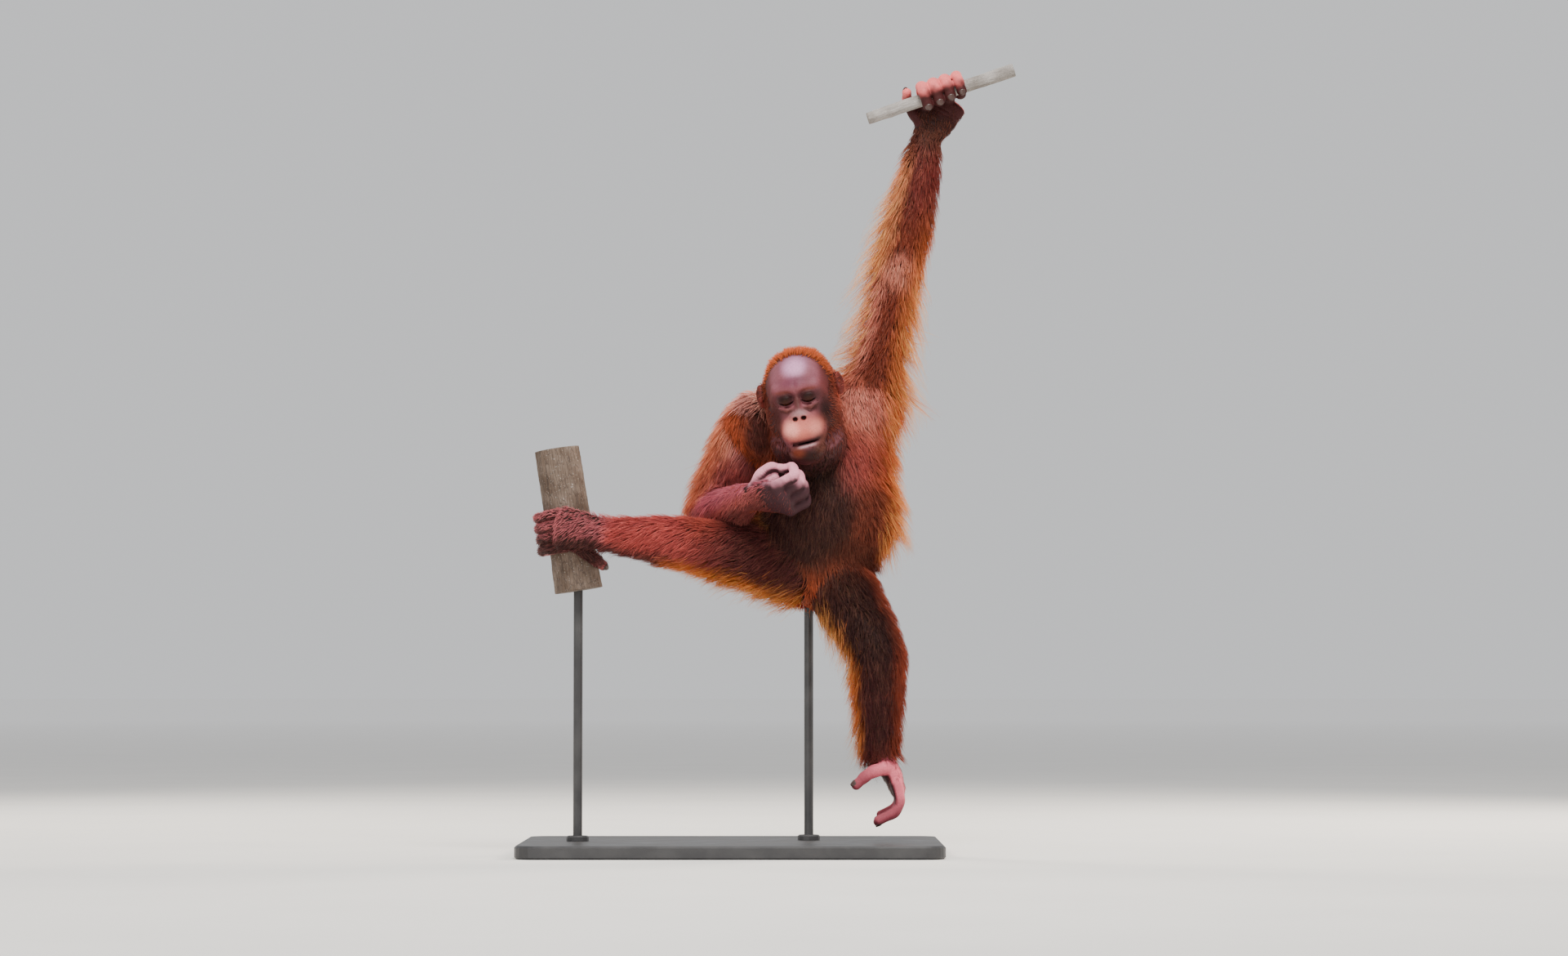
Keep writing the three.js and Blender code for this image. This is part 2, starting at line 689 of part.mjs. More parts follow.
// A flat lock of the coat. Its root is sunk in the core, and it bends over along `lie` and tapers
// to a tip that stands `lift` off the core.
function lock({ root, out, lie, length, lift, wide }, grow) {
  const { thick, sunk } = LOCK;
  const curve = new THREE.QuadraticBezierCurve3(
    root.clone().addScaledVector(out, -sunk).addScaledVector(lie, -0.1 * length),
    root.clone().addScaledVector(out, lift * 0.75 + 4).addScaledVector(lie, length * 0.35),
    root.clone().addScaledVector(out, lift).addScaledVector(lie, length),
  );
  const across = lie.clone().cross(out).normalize();
  const rows = [[0, 0.75], [0.42, 1], [0.8, 0.72]].map(([t, share]) => {
    const at = curve.getPoint(t);
    const up = across.clone().cross(curve.getTangent(t)).normalize();
    const half = (wide / 2) * share + 2 * grow;
    const under = at.clone().addScaledVector(up, -grow);
    return [
      under.clone().addScaledVector(across, half),
      under.clone().addScaledVector(across, -half),
      at.clone().addScaledVector(up, thick * share + 2 * grow),
    ];
  });
  const end = curve.getTangent(1);
  return sheath(rows, curve.getPoint(0), curve.getPoint(1).addScaledVector(end, 2 * grow));
}

// A lock's measures where the skin faces `out` and its coat is `depth` deep. The hair hangs, and
// also lies along `comb`.
function lockAt(root, out, depth, comb, random) {
  const lie = DOWN.clone().addScaledVector(comb, 0.5);
  lie.addScaledVector(out, -lie.dot(out));
  if (lie.length() < 0.3) lie.copy(comb).addScaledVector(out, -comb.dot(out));
  const turned = lie.normalize().applyAxisAngle(out, (random() - 0.5) * 0.5);
  return {
    root,
    out,
    lie: turned,
    length: (38 + depth * 0.8) * (0.85 + 0.3 * random()),
    lift: depth * (1 - CORE_SHARE) * (0.9 + 0.2 * random()),
    wide: (LOCK.wide + depth * 0.3) * (0.85 + 0.35 * random()),
  };
}

// Locks in staggered rows along a limb's rings
function limbLocks(list, [from, to], { along, around, comb, seed, start = 0.1, end = 0.95 }) {
  const random = dice(seed);
  const locks = [];
  for (let i = 0; i < along; i++) {
    for (let k = 0; k < around; k++) {
      const u = from + (to - from) * (start + ((end - start) * (i + 0.5 + 0.5 * (random() - 0.5))) / along);
      const turn = (2 * Math.PI * (k + 0.5 * (i % 2) + 0.5 * (random() - 0.5))) / around;
      const ring = list[Math.min(Math.round(u), to)];
      const root = ringPoint(ring, turn, 0, CORE_SHARE).addScaledVector(ring.along, (u - Math.round(u)) * 25);
      const out = root.clone().sub(ring.at);
      out.addScaledVector(ring.along, -out.dot(ring.along)).normalize();
      const way = ring.along.clone().multiplyScalar(comb);
      locks.push(lockAt(root, out, coatDepth(ring, out), way, random));
    }
  }
  return locks;
}

// Locks spread evenly over a blob, seen from its centre
function blobLocks(field, depthAt, centre, options) {
  const { count, comb, seed, wanted = () => true, reach = 260, scale = 1 } = options;
  const toWorld = options.turn ?? new THREE.Matrix4();
  const random = dice(seed);
  const locks = [];
  for (let i = 0; i < count; i++) {
    const z = 1 - (2 * (i + 0.5)) / count;
    const turn = i * Math.PI * (3 - Math.sqrt(5));
    const flat = Math.sqrt(1 - z * z);
    const direction = point(flat * Math.cos(turn), flat * Math.sin(turn), z);
    const dressed = (p) => field(p) - CORE_SHARE * depthAt(p);
    const root = cast(dressed, centre, direction, 0, reach);
    const step = 2;
    const slope = ["x", "y", "z"].map((axis) => {
      const next = root.clone();
      next[axis] += step;
      return dressed(next) - dressed(root);
    });
    const out = point(...slope).normalize();
    if (!wanted(root)) continue;
    const depth = depthAt(root);
    const way = comb(root).transformDirection(toWorld);
    const one = lockAt(root.applyMatrix4(toWorld), out.transformDirection(toWorld), depth, way, random);
    locks.push({ ...one, wide: one.wide * scale, length: one.length * scale });
  }
  return locks;
}

place("perch_branch", perchBranch, bark);
place("perch_stem", perchStem, bark);
place("torso", torsoCore, coat);
place("head", (grow) => (grow ? headCore(grow) : faceDetails(headCore(0))), faceSkin);
place("neck", neckCore, coat);
for (const limb of Object.values(LIMBS)) {
  const list = limbRings(limb);
  for (const [name, cut] of Object.entries(limb.cuts)) {
    const material = SKIN_NODES.includes(name) ? bareSkin : coat;
    place(name, (grow) => limbPiece(list, cut, limb.elbow, grow), material);
  }
}
for (const { name, make } of digits) place(name, make, bareSkin);
for (const [name, side] of [["ear_left", 1], ["ear_right", -1]]) {
  place(name, (grow) => earCore(side, grow), bareSkin);
}
for (const [name, side] of [["eye_left", 1], ["eye_right", -1]]) {
  const eye = () => ball(eyeAt(side), point(1, 1, 1).multiplyScalar(HEAD.eyeRadius), 12, 8, headTurn);
  made.push({ name, body: eye(), grown: eye(), material: finish(0x2a1710, 0.15) });
}
place("stand_base", standBase, stand);
place("stand_rod_rump", (grow) => standRod(RUMP_ROD, 420, grow), stand);
const stemFoot = STEM.at.clone().addScaledVector(stemUp, -STEM.down + 6);
place("stand_rod_stem", (grow) => standRod(stemFoot, stemFoot.z + 10, grow), stand);

// The coat's locks, cut clear of the other nodes' cores and of the locks already there
const LIMB_PIECES = Object.fromEntries(
  Object.values(LIMBS).flatMap((limb) => {
    const list = limbRings(limb);
    return Object.entries(limb.cuts).map(([name, cut]) => [name, [list, cut]]);
  }),
);
const COATS = {
  torso: () =>
    blobLocks(torsoField, torsoCoat, torsoCentre, {
      count: 44,
      seed: 11,
      comb: (p) => p.clone().sub(torsoCentre).setZ(0).normalize().multiplyScalar(0.4),
    }),
  head: () =>
    blobLocks(headField, headCoat, faceCentre, {
      count: 24,
      seed: 12,
      comb: (p) => p.clone().sub(faceCentre).setY(0).normalize().multiplyScalar(-0.3).add(point(0, 1, 0)),
      wanted: (root) => headCoat(root) > 5 && root.y < 128,
      reach: 140,
      scale: 0.7,
      turn: headTurn,
    }),
  upper_arm_left: () =>
    limbLocks(...LIMB_PIECES.upper_arm_left, { along: 4, around: 4, comb: -0.6, seed: 21, start: 0.25 }),
  forearm_left: () =>
    limbLocks(...LIMB_PIECES.forearm_left, { along: 4, around: 4, comb: -0.8, seed: 22, end: 0.85 }),
  upper_arm_right: () =>
    limbLocks(...LIMB_PIECES.upper_arm_right, { along: 3, around: 4, comb: 0.6, seed: 23, start: 0.25 }),
  forearm_right: () =>
    limbLocks(...LIMB_PIECES.forearm_right, { along: 2, around: 4, comb: -0.8, seed: 24, end: 0.8 }),
  thigh_right: () =>
    limbLocks(...LIMB_PIECES.thigh_right, { along: 4, around: 4, comb: 0.7, seed: 25, start: 0.25 }),
  shin_right: () =>
    limbLocks(...LIMB_PIECES.shin_right, { along: 3, around: 4, comb: 0.7, seed: 26, end: 0.85 }),
  thigh_left: () =>
    limbLocks(...LIMB_PIECES.thigh_left, { along: 4, around: 4, comb: 0.3, seed: 27, start: 0.3 }),
  shin_left: () =>
    limbLocks(...LIMB_PIECES.shin_left, { along: 3, around: 4, comb: 0.3, seed: 28, end: 0.85 }),
};

const combed = [];
for (const [name, locksOf] of Object.entries(COATS)) {
  const node = made.find((m) => m.name === name);
  const others = made.filter((m) => m !== node);
  const locks = locksOf().filter(({ root, out }) => {
    const seat = new THREE.BoxGeometry(1, 1, 1).translate(...root.clone().addScaledVector(out, 5).toArray());
    const cube = solid(seat);
    return !others.some((m) => touches(cube, m.grown) && !cube.intersect(m.grown).isEmpty());
  });
  let hair = join(locks.map((one) => lock(one, 0)));
  for (const other of [...others, ...combed]) {
    if (touches(hair, other.grown)) hair = hair.subtract(other.grown).subtract(other.body);
  }
  node.body = largest(node.body.add(hair));
  combed.push({ body: node.body, grown: join(locks.map((one) => lock(one, GAP))) });
}

for (const { name, body, material } of made) {
  const mesh = new THREE.Mesh(skinOf(largest(solid(skinOf(body), 2e-3))), material);
  mesh.name = name;
  animal.add(mesh);
}

export default animal;
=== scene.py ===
"""A young orangutan hanging by one hand from a branch, with one foot round a tree stem, as a still
museum model on a display stand. Sizes are in millimetres in the row frame, and meshes in metres."""

import math

import bmesh
import bpy
import numpy as np
import openvdb
from mathutils import Matrix, Vector
from mathutils.kdtree import KDTree


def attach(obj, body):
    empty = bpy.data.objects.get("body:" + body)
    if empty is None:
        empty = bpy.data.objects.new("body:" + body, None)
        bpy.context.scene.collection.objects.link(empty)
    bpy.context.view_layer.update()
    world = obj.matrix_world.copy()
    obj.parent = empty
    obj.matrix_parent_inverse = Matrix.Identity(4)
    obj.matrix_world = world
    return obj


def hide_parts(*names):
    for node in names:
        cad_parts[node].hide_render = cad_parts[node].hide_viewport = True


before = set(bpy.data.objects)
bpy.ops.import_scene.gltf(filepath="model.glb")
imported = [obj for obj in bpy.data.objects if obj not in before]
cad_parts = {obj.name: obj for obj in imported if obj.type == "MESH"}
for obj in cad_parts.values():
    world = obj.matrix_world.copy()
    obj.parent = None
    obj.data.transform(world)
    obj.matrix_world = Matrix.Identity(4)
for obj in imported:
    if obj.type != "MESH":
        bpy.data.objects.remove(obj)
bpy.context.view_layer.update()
MM = 0.001
DOWN = np.array([0.0, 0.0, -1.0])
ACROSS, UP = (1, 0, 0), (0, 0, 1)
FAR = 30.0  # a distance for points that are nowhere near a limb
# The parts of the body. A place along a limb is counted in stations, and from FINGERS on it is on
# a finger or a toe of that limb.
TORSO, NECK, HEAD, LEFT_ARM, RIGHT_UPPER_ARM, RIGHT_FOREARM, RIGHT_LEG, LEFT_LEG = range(8)
FINGERS = 20


# ---- Vectors and distances. P is an array of points, one a row.


def vec(*numbers):
    return np.array(numbers, float)


def unit(v):
    return v / np.maximum(np.linalg.norm(v, axis=-1, keepdims=True), 1e-9)


def ramp(x, low, high):
    t = np.clip((x - low) / (high - low), 0, 1)
    return t * t * (3 - 2 * t)


def blend(a, b, soft):
    share = np.maximum(soft - np.abs(a - b), 0) / soft
    return np.minimum(a, b) - share * share * soft / 4


def carve(a, b, soft):
    return -blend(-a, b, soft)


def ellipsoid(P, centre, radii):
    q = P - vec(*centre)
    r = vec(*radii)
    near = np.linalg.norm(q / r, axis=1)
    slope = np.linalg.norm(q / (r * r), axis=1)
    return near * (near - 1) / np.maximum(slope, 1e-9)


def rod(P, a, b, radius, end):
    a, b = vec(*a), vec(*b)
    span = b - a
    t = np.clip((P - a) @ span / (span @ span), 0, 1)
    size = radius + (end - radius) * t
    return np.linalg.norm(P - a - t[:, None] * span, axis=1) - size


def shaped(P, d, forms):
    """Joins each form to the distance d. The last number of a row is how softly; below 0 it carves."""
    for shape, *sizes, soft in forms:
        join = blend if soft > 0 else carve
        d = join(d, shape(P, *sizes), abs(soft))
    return d


def noise(P, size, seed=0):
    """Smooth numbers between about -1 and 1 that vary over `size`."""
    rng = np.random.default_rng(seed)
    total = np.zeros(len(P))
    for octave in range(6):
        way = unit(rng.normal(size=3)) * 2 * math.pi / size * (0.7 + 0.25 * octave)
        total += np.sin(P @ way + rng.uniform(0, 6.3) + 1.3 * np.sin(P @ np.roll(way, 1) * 0.6))
    return total / 3.4


# ---- A limb or finger, along stations: each has a place, a half width, a half thickness, and the
# direction in which it is wide, where that isn't straight across the body

REACH = 26  # room round a limb in which its distance counts


class Limb:
    def __init__(self, stations, coat=None, fringes=(), comb=1.0, steps=4):
        self.count = len(stations)
        at = np.array([s[0] for s in stations], float)
        size = np.array([[s[1], s[2]] for s in stations], float)
        flat = np.array([s[3] if len(s) > 3 else ACROSS for s in stations], float)
        padded = np.vstack([2 * at[0] - at[1], at, 2 * at[-1] - at[-2]])
        rows, self.u = [], []
        for i in range(len(at) - 1):
            p0, p1, p2, p3 = padded[i : i + 4]
            for k in range(steps):
                t = k / steps
                curve = 2 * p1 + (p2 - p0) * t + (2 * p0 - 5 * p1 + 4 * p2 - p3) * t * t
                rows.append(0.5 * (curve + (3 * p1 - p0 - 3 * p2 + p3) * t**3))
                self.u.append(i + t)
        rows.append(at[-1])
        self.u.append(len(at) - 1.0)
        self.at = np.array(rows)
        self.u = np.array(self.u)
        low = np.minimum(self.u.astype(int), len(at) - 2)
        t = self.u - low
        eased = (t * t * (3 - 2 * t))[:, None]
        self.size = size[low] * (1 - eased) + size[low + 1] * eased
        self.flat = flat[low] * (1 - t[:, None]) + flat[low + 1] * t[:, None]
        self.coat = coat
        self.fringes = [(unit(vec(*to)), long) for to, long in fringes]
        self.comb = comb
        reach = self.size.max() + REACH
        self.low, self.high = self.at.min(0) - reach, self.at.max(0) + reach

    def measure(self, P):
        """Distance to the skin, place along the stations and direction outwards, for each point."""
        best = np.full(len(P), 1e9)
        seg = np.zeros(len(P), int)
        share = np.zeros(len(P))
        for i in range(len(self.at) - 1):
            a, span = self.at[i], self.at[i + 1] - self.at[i]
            t = np.clip((P - a) @ span / (span @ span), 0, 1)
            gap = np.linalg.norm(P - a - t[:, None] * span, axis=1) - self.size[i].mean()
            closer = gap < best
            best[closer], seg[closer], share[closer] = gap[closer], i, t[closer]
        t = share[:, None]
        mix = lambda values: values[seg] * (1 - t) + values[seg + 1] * t
        centre, size, flat = mix(self.at), mix(self.size), mix(self.flat)
        along = unit(self.at[seg + 1] - self.at[seg])
        side = unit(flat - along * (flat * along).sum(1, keepdims=True))
        over = np.cross(along, side)
        q = P - centre
        parts = np.stack([(q * side).sum(1), (q * over).sum(1), (q * along).sum(1)], 1)
        radii = np.column_stack([size, size.min(1)])
        near = np.linalg.norm(parts / radii, axis=1)
        slope = np.linalg.norm(parts / radii**2, axis=1)
        distance = np.where(slope > 1e-7, near * (near - 1) / np.maximum(slope, 1e-9), -radii.min(1))
        return distance, self.u[seg] * (1 - share) + self.u[seg + 1] * share, along

    def field(self, P):
        distance = np.full(len(P), FAR)
        close = ((P > self.low) & (P < self.high)).all(1)
        if close.any():
            distance[close] = self.measure(P[close])[0]
        return distance


# ---- The head, in its own frame: from the bridge of the nose, +X to its left, -Y forward

HEAD_AT = vec(99, -134, 688)
HEAD_TURN = np.array(
    Matrix.Rotation(math.radians(-8), 3, "Z")
    @ Matrix.Rotation(math.radians(-9.5), 3, "Y")
    @ Matrix.Rotation(math.radians(12), 3, "X")
)
EYE = vec(17, 9, -1)
EYE_RADIUS = 11.0


def to_head(P):
    return (P - HEAD_AT) @ HEAD_TURN


def from_head(L):
    return np.asarray(L, float) @ HEAD_TURN.T + HEAD_AT


def mouth_line(x):
    return -67.2 + 0.07 * x - 0.0015 * x * x


def lid_line(x):
    return -8.4 + 0.03 * x * x


HEAD_FORMS = [
    (ellipsoid, (0, 44, -30), (45, 42, 52), 14),  # jaw
    (ellipsoid, (0, 12, -50), (34, 38, 31), 14),  # muzzle
    (ellipsoid, (0, -10, -52), (29, 24, 15), 10),  # upper lip
    (ellipsoid, (0, 8, -84), (28, 30, 20), 10),  # chin
    (ellipsoid, (0, -12, -75), (20, 16, 8), 7),  # lower lip
    (ellipsoid, (34, 44, -34), (20, 30, 28), 14),  # cheeks
    (rod, (6, 1, 13), (29, 12, 12), 7, 7, 8),  # brows
    (rod, (29, 12, 12), (36, 20, -4), 6, 6, 8),
    (ellipsoid, (17, -6, -2), (14, 12, 11), -7),  # eye sockets
    (rod, (0, -2, -6), (0, -9, -24), 4, 6, 7),  # ridge of the nose, its wings and nostrils
    (ellipsoid, (7.5, -9, -29), (6.5, 7.5, 6), 5),
    (ellipsoid, (6.6, -15.5, -30.5), (3.9, 8.0, 3.0), -1.6),
]
EYE_BAGS = [
    (rod, (8, -3, -15), (18, -4.5, -17), 2.4, 2.4, 4),
    (rod, (18, -4.5, -17), (28, 2, -13), 2.4, 2.4, 4),
]
LID_RADIUS = 14.0
MOUTH_MIDDLE, MOUTH_HALF = 4, 21
SLIT_HALF = 10.5


def head_field(L):
    x, y, z = L[:, 0], L[:, 1], L[:, 2]
    q = np.column_stack([np.abs(x), y, z])
    d = shaped(q, ellipsoid(q, (0, 62, 8), (53, 66, 54)), HEAD_FORMS)
    # eyelids over the eyeball, open along a slit low on it, with a bag under them
    ball = np.linalg.norm(q - EYE, axis=1)
    dx = q[:, 0] - EYE[0]
    d = shaped(q, blend(d, ball - LID_RADIUS, 3), EYE_BAGS)
    for height, deep in ((4.6, 0.9), (0.8, 0.35)):
        crease = np.exp(-(((z - height + 0.02 * dx * dx) / 1.2) ** 2))
        d = d + deep * crease * ramp(np.abs(dx), 13, 9) * ramp(y, 8, 2)
    gap = 1.25 * np.sqrt(np.maximum(1 - (dx / SLIT_HALF) ** 2, 0))
    slit = np.maximum(np.abs(z - lid_line(dx)) - gap, np.abs(dx) - SLIT_HALF)
    d = carve(d, np.maximum(slit, y - 4), 1.0)
    d = np.maximum(d, EYE_RADIUS + 0.5 - ball)
    # mouth: a groove that opens a little on the left of its middle
    line = z - mouth_line(x)
    gap = 0.7 + 1.1 * np.exp(-(((x - 6) / 12) ** 2))
    ends = np.maximum(np.abs(x - MOUTH_MIDDLE) - MOUTH_HALF, y + 0.02 * x * x)
    d = carve(d, np.maximum(np.abs(line + gap * 0.4) - gap, ends), 2.2)
    # lips roll out on both sides of the mouth, and skin folds run beside it and under the eyes
    roll = np.exp(-(((line - 4.5) / 3.5) ** 2)) + 0.9 * np.exp(-(((line + 5.5) / 3.2) ** 2))
    d = d - 1.0 * roll * ramp(np.abs(x - 3), 23, 12) * ramp(y, 6, -8)
    fold = np.hypot(q[:, 0] - 2, (z + 50) * 0.95)
    d = d + 0.9 * np.exp(-(((fold - 36) / 2.2) ** 2)) * ramp(y, 30, 12) * ramp(z, -20, -32)
    rings = 0.28 * np.cos((ball - 15) * 2 * math.pi / 3.6) * ramp(ball, 28, 17) * ramp(ball, 13.5, 15.5)
    d = d - rings * ramp(z, -1, -8) * ramp(y, 22, 8)
    lines = np.cos(z * 2 * math.pi / 7.5 + 0.012 * x * x)
    return d - 0.16 * lines * ramp(z, 14, 22) * ramp(z, 52, 36) * ramp(y, 22, 8)


EAR_FORMS = [
    (ellipsoid, (67, 52, 6), (6.5, 7, 12), -2.5),
    (ellipsoid, (61, 47, 0), (4, 3, 4.5), 2),
]


def ear_field(L):
    q = np.column_stack([np.abs(L[:, 0]), L[:, 1], L[:, 2]])
    d = shaped(q, ellipsoid(q, (59, 58, 4), (9, 12, 18)), EAR_FORMS)
    rim = np.hypot(q[:, 1] - 54, (q[:, 2] - 5) * 0.75)
    return d + 0.8 * np.exp(-(((rim - 9.5) / 1.2) ** 2)) * ramp(q[:, 0], 60, 64)


# ---- The trunk of the body and the neck


TORSO_FORMS = [
    (ellipsoid, (150, -2, 512), (94, 76, 78), 30),  # belly
    (ellipsoid, (128, 12, 442), (70, 58, 56), 30),  # hips
    (ellipsoid, (122, 18, 658), (78, 56, 48), 30),  # upper back
    (ellipsoid, (208, 14, 690), (38, 38, 44), 26),  # left shoulder
    (ellipsoid, (60, 26, 508), (32, 34, 36), 24),  # right flank
    (ellipsoid, (36, 2, 650), (40, 40, 40), 26),  # right shoulder
]


def torso_field(P):
    return shaped(P, ellipsoid(P, (142, 12, 592), (96, 74, 92)), TORSO_FORMS)


def throat_arcs(P):
    """How far a point is from the middle of the arcs in which the throat's loose skin hangs."""
    return np.hypot(P[:, 0] - 112, P[:, 2] - 668)


ARC_RADIUS = 62


def neck_field(P):
    d = rod(P, (124, 16, 650), from_head((0, 62, -30)), 46, 46)
    sac = ellipsoid(P, (116, -72, 628), (56, 44, 48))
    sac = sac + 2.2 * np.exp(-(((throat_arcs(P) - ARC_RADIUS) / 4) ** 2)) * ramp(P[:, 1], -60, -80)
    return blend(d, sac, 16)


# ---- Limbs, as in the solids: half widths and thicknesses of the flesh, without its coat

LEAN = math.radians(17.6)
BRANCH_AT = vec(322, -8, 1165)
BRANCH = vec(math.cos(LEAN), 0, math.sin(LEAN))
BRANCH_OVER = vec(-BRANCH[2], 0, BRANCH[0])
BRANCH_RADIUS = 10.5
STEM_AT = vec(-248, -5, 492)
STEM_LEAN = math.radians(9)
STEM = vec(-math.sin(STEM_LEAN), 0, math.cos(STEM_LEAN))
STEM_LEFT = vec(-STEM[2], 0, STEM[0])
STEM_RADIUS = 36
# the right fist: away from the wrist, across the knuckles, and into the palm
FIST_OUT = vec(0.744, -0.658, -0.114)
FIST_SIDE = vec(-0.435, -0.607, 0.662)
FIST_IN = vec(0.505, 0.443, 0.738)

LIMBS = {
    "left_arm": Limb(
        [
            ((204, 14, 672), 38, 36),
            ((222, 16, 735), 29, 30),
            ((240, 22, 820), 23, 26),
            ((256, 26, 900), 26, 27),
            ((268, 24, 950), 28, 27),
            ((288, 16, 1035), 23, 22),
            ((300, 14, 1096), 20, 17, BRANCH),
            ((313, 17, 1128), 32, 15, BRANCH),
            ((325, 18, 1154), 37, 12, BRANCH),
        ],
        coat=[12, 10, 9, 9, 9, 8, 5, 1, 0],
        fringes=[
            ((0.95, 0.3, 0), [34, 50, 54, 34, 20, 13, 7, 0, 0]),
            ((-0.95, 0.3, 0), [18, 36, 56, 56, 50, 28, 10, 0, 0]),
        ],
        comb=-0.7,
    ),
    "right_upper_arm": Limb(
        [
            ((38, 2, 662), 34, 36),
            ((16, 14, 632), 34, 36),
            ((-12, 36, 580), 30, 32),
            ((-34, 52, 526), 28, 28),
        ],
        coat=[14, 14, 13, 12],
        fringes=[((-0.8, 0.5, -0.3), [12, 20, 24, 20])],
        comb=0.7,
    ),
    "right_forearm": Limb(
        [
            ((-36, 50, 520), 27, 27),
            ((-18, 6, 522), 29, 29),
            ((6, -42, 531), 25, 25),
            ((29, -90, 541), 20, 18, FIST_SIDE),
            ((54, -113, 540), 28, 16, FIST_SIDE),
            ((79, -135, 536), 33, 13, FIST_SIDE),
        ],
        coat=[11, 11, 9, 5, 2, 0],
        fringes=[((0, 0, -1), [10, 14, 12, 3, 0, 0])],
        comb=-0.8,
    ),
    "right_leg": Limb(
        [
            ((104, 4, 440), 50, 50, UP),
            ((56, -12, 450), 45, 43, UP),
            ((-6, -40, 462), 38, 36, UP),
            ((-60, -58, 472), 33, 33, UP),
            ((-100, -60, 477), 32, 29, UP),
            ((-150, -58, 482), 25, 22, UP),
            ((-188, -58, 486), 21, 19, STEM),
            ((-220, -61, 489), 28, 15, STEM),
            ((-256, -60, 494), 33, 12, STEM),
        ],
        coat=[14, 12, 10, 10, 10, 11, 9, 7, 5],
        fringes=[((0, 0, -1), [26, 24, 20, 8, 2, 0, 0, 0, 0])],
        comb=0.8,
    ),
    "left_leg": Limb(
        [
            ((150, 6, 436), 46, 50),
            ((170, -14, 404), 44, 46),
            ((202, -52, 350), 37, 38),
            ((223, -76, 302), 32, 34),
            ((223, -70, 262), 31, 31),
            ((224, -54, 200), 25, 26),
            ((227, -42, 150), 20, 20, (0, -1, 0)),
            ((243, -40, 124), 28, 15, (0, -1, 0)),
            ((252, -38, 100), 32, 12, (0, -1, 0)),
        ],
        coat=[12, 12, 10, 9, 9, 10, 8, 3, 1],
        fringes=[
            ((-1, 0.2, -0.3), [32, 36, 32, 26, 22, 24, 12, 0, 0]),
            ((1, 0.2, 0), [2, 3, 5, 8, 9, 9, 6, 0, 0]),
        ],
        comb=0.4,
    ),
}
# where each limb grows from the trunk, and joins it softly
ROOTS = {
    "left_arm": (204, 14, 690),
    "right_upper_arm": (38, 2, 662),
    "right_leg": (104, 4, 440),
    "left_leg": (150, 6, 430),
}
RIGHT_ELBOW = (-36, 50, 520)


# ---- Fingers and toes: spots along each, its thickness there, and which way is across it


def wrapped(centre, start, side, radius, turns):
    angles = np.radians(turns)
    return [centre + radius * (math.cos(a) * start + math.sin(a) * side) for a in angles]


def curled(turn):
    a = math.radians(turn)
    return unit(math.cos(a) * FIST_OUT + math.sin(a) * FIST_IN)


def digit_list():
    digits = {}
    for i in range(4):
        small = 0.9 if i == 3 else 1
        radii = np.array([8.8, 8.7, 8.7, 8.5, 8.0]) * small
        centre = BRANCH_AT + BRANCH * (-26 + 18.6 * i)
        turns = [-22, 38, 98, 160, 222 - 6 * i]
        spots = wrapped(centre, vec(0, 1, 0), BRANCH_OVER, BRANCH_RADIUS + 9.6, turns)
        digits[f"finger_left_{i}"] = ("left_arm", spots, radii, BRANCH)
        length = [1, 1.06, 1, 0.84][i]
        spots = [vec(79, -135, 536) + FIST_SIDE * (27 - 17.8 * i)]
        for turn, long in ((48, 30), (128, 23), (200, 15)):
            spots.append(spots[-1] + curled(turn) * long * length)
        radii = np.array([9, 8.6, 8, 7.2]) * (0.92 if i == 3 else 1)
        digits[f"finger_right_{i}"] = ("right_forearm", spots, radii, FIST_SIDE)
        centre = STEM_AT + STEM * (-24 + 16.8 * i)
        turns = [12, 40, 70, 98, 122 - 5 * i]
        spots = wrapped(centre, vec(0, -1, 0), STEM_LEFT, STEM_RADIUS + 10, turns)
        digits[f"toe_right_{i}"] = ("right_leg", spots, np.array([9, 8.6, 8.2, 7.8, 7]) * small, STEM)
        length, y = [1, 1.04, 1, 0.86][i], -64 + 17.2 * i
        spots = [vec(250, y, 108), vec(255, y + 1, 84), vec(247, y + 2, 65), vec(223, y + 1, 53)]
        spots = [spots[0] + (p - spots[0]) * length for p in spots]
        digits[f"toe_left_{i}"] = ("left_leg", spots, np.array([9, 8.6, 8, 7]) * small, vec(0, 1, 0))
    thumb = np.array([11, 9, 8, 7])
    spots = [vec(296, 14, 1118), vec(280, 17, 1138), vec(270, 13, 1160), vec(269, -3, 1168)]
    digits["thumb_left"] = ("left_arm", spots, thumb, vec(1, 0, 0))
    spots = [vec(34, -110, 551), vec(44, -124, 572), vec(61, -128, 584), vec(77, -124, 582)]
    digits["thumb_right"] = ("right_forearm", spots, thumb, vec(0, -1, 0))
    great = np.array([12, 10.5, 9.5, 8])
    spots = [
        wrapped(STEM_AT + STEM * down, vec(0, -1, 0), STEM_LEFT, STEM_RADIUS + 10.5, [turn])[0]
        for turn, down in ((-8, -22), (-28, -38), (-48, -51), (-68, -60))
    ]
    digits["great_right"] = ("right_leg", spots, great, STEM)
    spots = [vec(232, -62, 132), vec(215, -68, 127), vec(201, -70, 118), vec(189, -70, 107)]
    digits["great_left"] = ("left_leg", spots, great, vec(0, 1, 0))
    return digits


